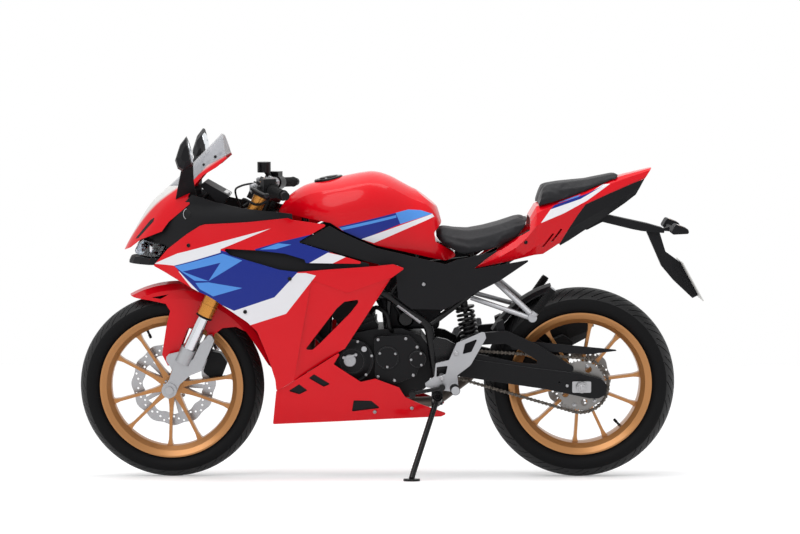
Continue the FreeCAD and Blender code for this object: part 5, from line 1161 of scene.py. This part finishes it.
# Tail lamp, indicators and plate
# A red moulded lens sits in the tail's end. The indicators on the plate carrier have smoked amber lenses that
# face back. The number plate is bare and unpainted.
amber_lens = finish("smoked amber lens", rgb(150, 92, 40), 0.12, scale=60.0, depth=0, tone=0.04, spread=0.02,
                    coat_weight=0.6, coat_roughness=0.03)
dress(finish("red lens", rgb(176, 8, 18), 0.1, scale=60.0, depth=0, tone=0.04, spread=0.02, coat_weight=0.6,
             coat_roughness=0.03), "tail_lamp")
dress(finish("blank plate", rgb(206, 206, 202), 0.4, scale=300.0, depth=0.0001, tone=0.04), "number_plate")
form = bmesh.new()
outline = rounded(((803, -146), (803, -88), (826, -92), (826, -142)), 6)
laid_on(form, "plate_carrier", [mm(1700, y, z) for z, y in outline], mm(-1, 0, 0), 0.0006, step=0.02)
both_sides(form)
shown("indicator_lenses", form, amber_lens, "frame")

# Fuel cap
# A round black locking cap on the top of the tank, held by a ring of five steel screws, with a raised cover
# over its lock.
cap_place, cap_way = found_on("fuel_tank", mm(505, 0, 1300), (0, 0, -1))
form = bmesh.new()
lathe(form, cap_place, cap_way, [(-0.006, 0.046), (0.0022, 0.046), (0.0040, 0.0440), (0.0040, 0.0310),
                                 (0.0028, 0.0300), (0.0028, 0.0285), (0.0062, 0.0280), (0.0074, 0.0262),
                                 (0.0074, 0.0100), (0.0064, 0.0095)], 40)
shown("fuel_cap", form, smooth_black, "frame")
form = bmesh.new()
aside = cap_way.orthogonal().normalized()
for number in range(5):
    turn = 2 * math.pi * number / 5
    out = aside * math.cos(turn) + cap_way.cross(aside) * math.sin(turn)
    socket_bolt(form, cap_place + out * 0.0375 + cap_way * 0.004, cap_way, 0.0038)
shown("fuel_cap_screws", form, steel, "frame")

# Seats
# Moulded foam pads under a smooth dark vinyl with a fine grain. The covers are stretched over the foam and
# stapled out of sight below. A cloth simulation blows each cover up from the seat's plain solid.
SEAT_VOXEL = 0.005
SEAT_SHRINK = 0.0035
SEAT_CAP = 0.006
STUFFING_PRESSURE = 4.0
STUFFING_FRAMES = 20
HELD_HEIGHT = 0.02
vinyl = finish("dark grained vinyl", rgb(27, 27, 30), 0.5, scale=1300.0, depth=0.0005, tone=0.18,
               specular_ior_level=0.2, sheen_weight=0.06, sheen_roughness=0.5)


def applied(holder):
    """A mesh with the piece's modifiers applied."""
    bpy.context.view_layer.update()
    return bpy.data.meshes.new_from_object(holder.evaluated_get(bpy.context.evaluated_depsgraph_get()))


def padded_seat(name, node):
    """Grows a stuffed cover from the seat's plain solid."""
    pad = bpy.data.objects.new(name, cad[node].data.copy())
    scene.collection.objects.link(pad)
    remesh = pad.modifiers.new("remesh", "REMESH")
    remesh.mode = "VOXEL"
    remesh.voxel_size = SEAT_VOXEL
    mesh = applied(pad)
    pad.modifiers.clear()
    pad.data = mesh
    for v, normal in zip(mesh.vertices, [n.vector.copy() for n in mesh.vertex_normals]):
        v.co -= normal * SEAT_SHRINK
    start = [v.co.copy() for v in mesh.vertices]
    low = min(v.z for v in start)
    held = pad.vertex_groups.new(name="held")
    held.add([i for i, v in enumerate(start) if v.z < low + HELD_HEIGHT], 1.0, "REPLACE")
    cloth = pad.modifiers.new("stuffing", "CLOTH")
    cloth.settings.use_pressure = True
    cloth.settings.uniform_pressure_force = STUFFING_PRESSURE
    cloth.settings.effector_weights.gravity = 0.0
    cloth.settings.vertex_group_mass = "held"
    for number in range(1, STUFFING_FRAMES + 1):
        scene.frame_set(number)
    grown = applied(pad)
    pad.modifiers.clear()
    for v, before, after in zip(mesh.vertices, start, grown.vertices):
        move = after.co - before
        v.co = before + move * min(1.0, SEAT_CAP / max(move.length, 1e-9))
    scene.frame_set(1)
    smooth = pad.modifiers.new("stretch", "SMOOTH")
    smooth.factor = 0.5
    smooth.iterations = 4
    finer = pad.modifiers.new("finer", "SUBSURF")
    finer.levels = finer.render_levels = 1
    pad.data = applied(pad)
    pad.modifiers.clear()
    pad.data.polygons.foreach_set("use_smooth", [True] * len(pad.data.polygons))
    pad.data.materials.clear()
    pad.data.materials.append(vinyl)
    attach(pad, "frame")
    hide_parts(node)


padded_seat("rider_seat_cover", "rider_seat")
padded_seat("passenger_seat_cover", "passenger_seat")
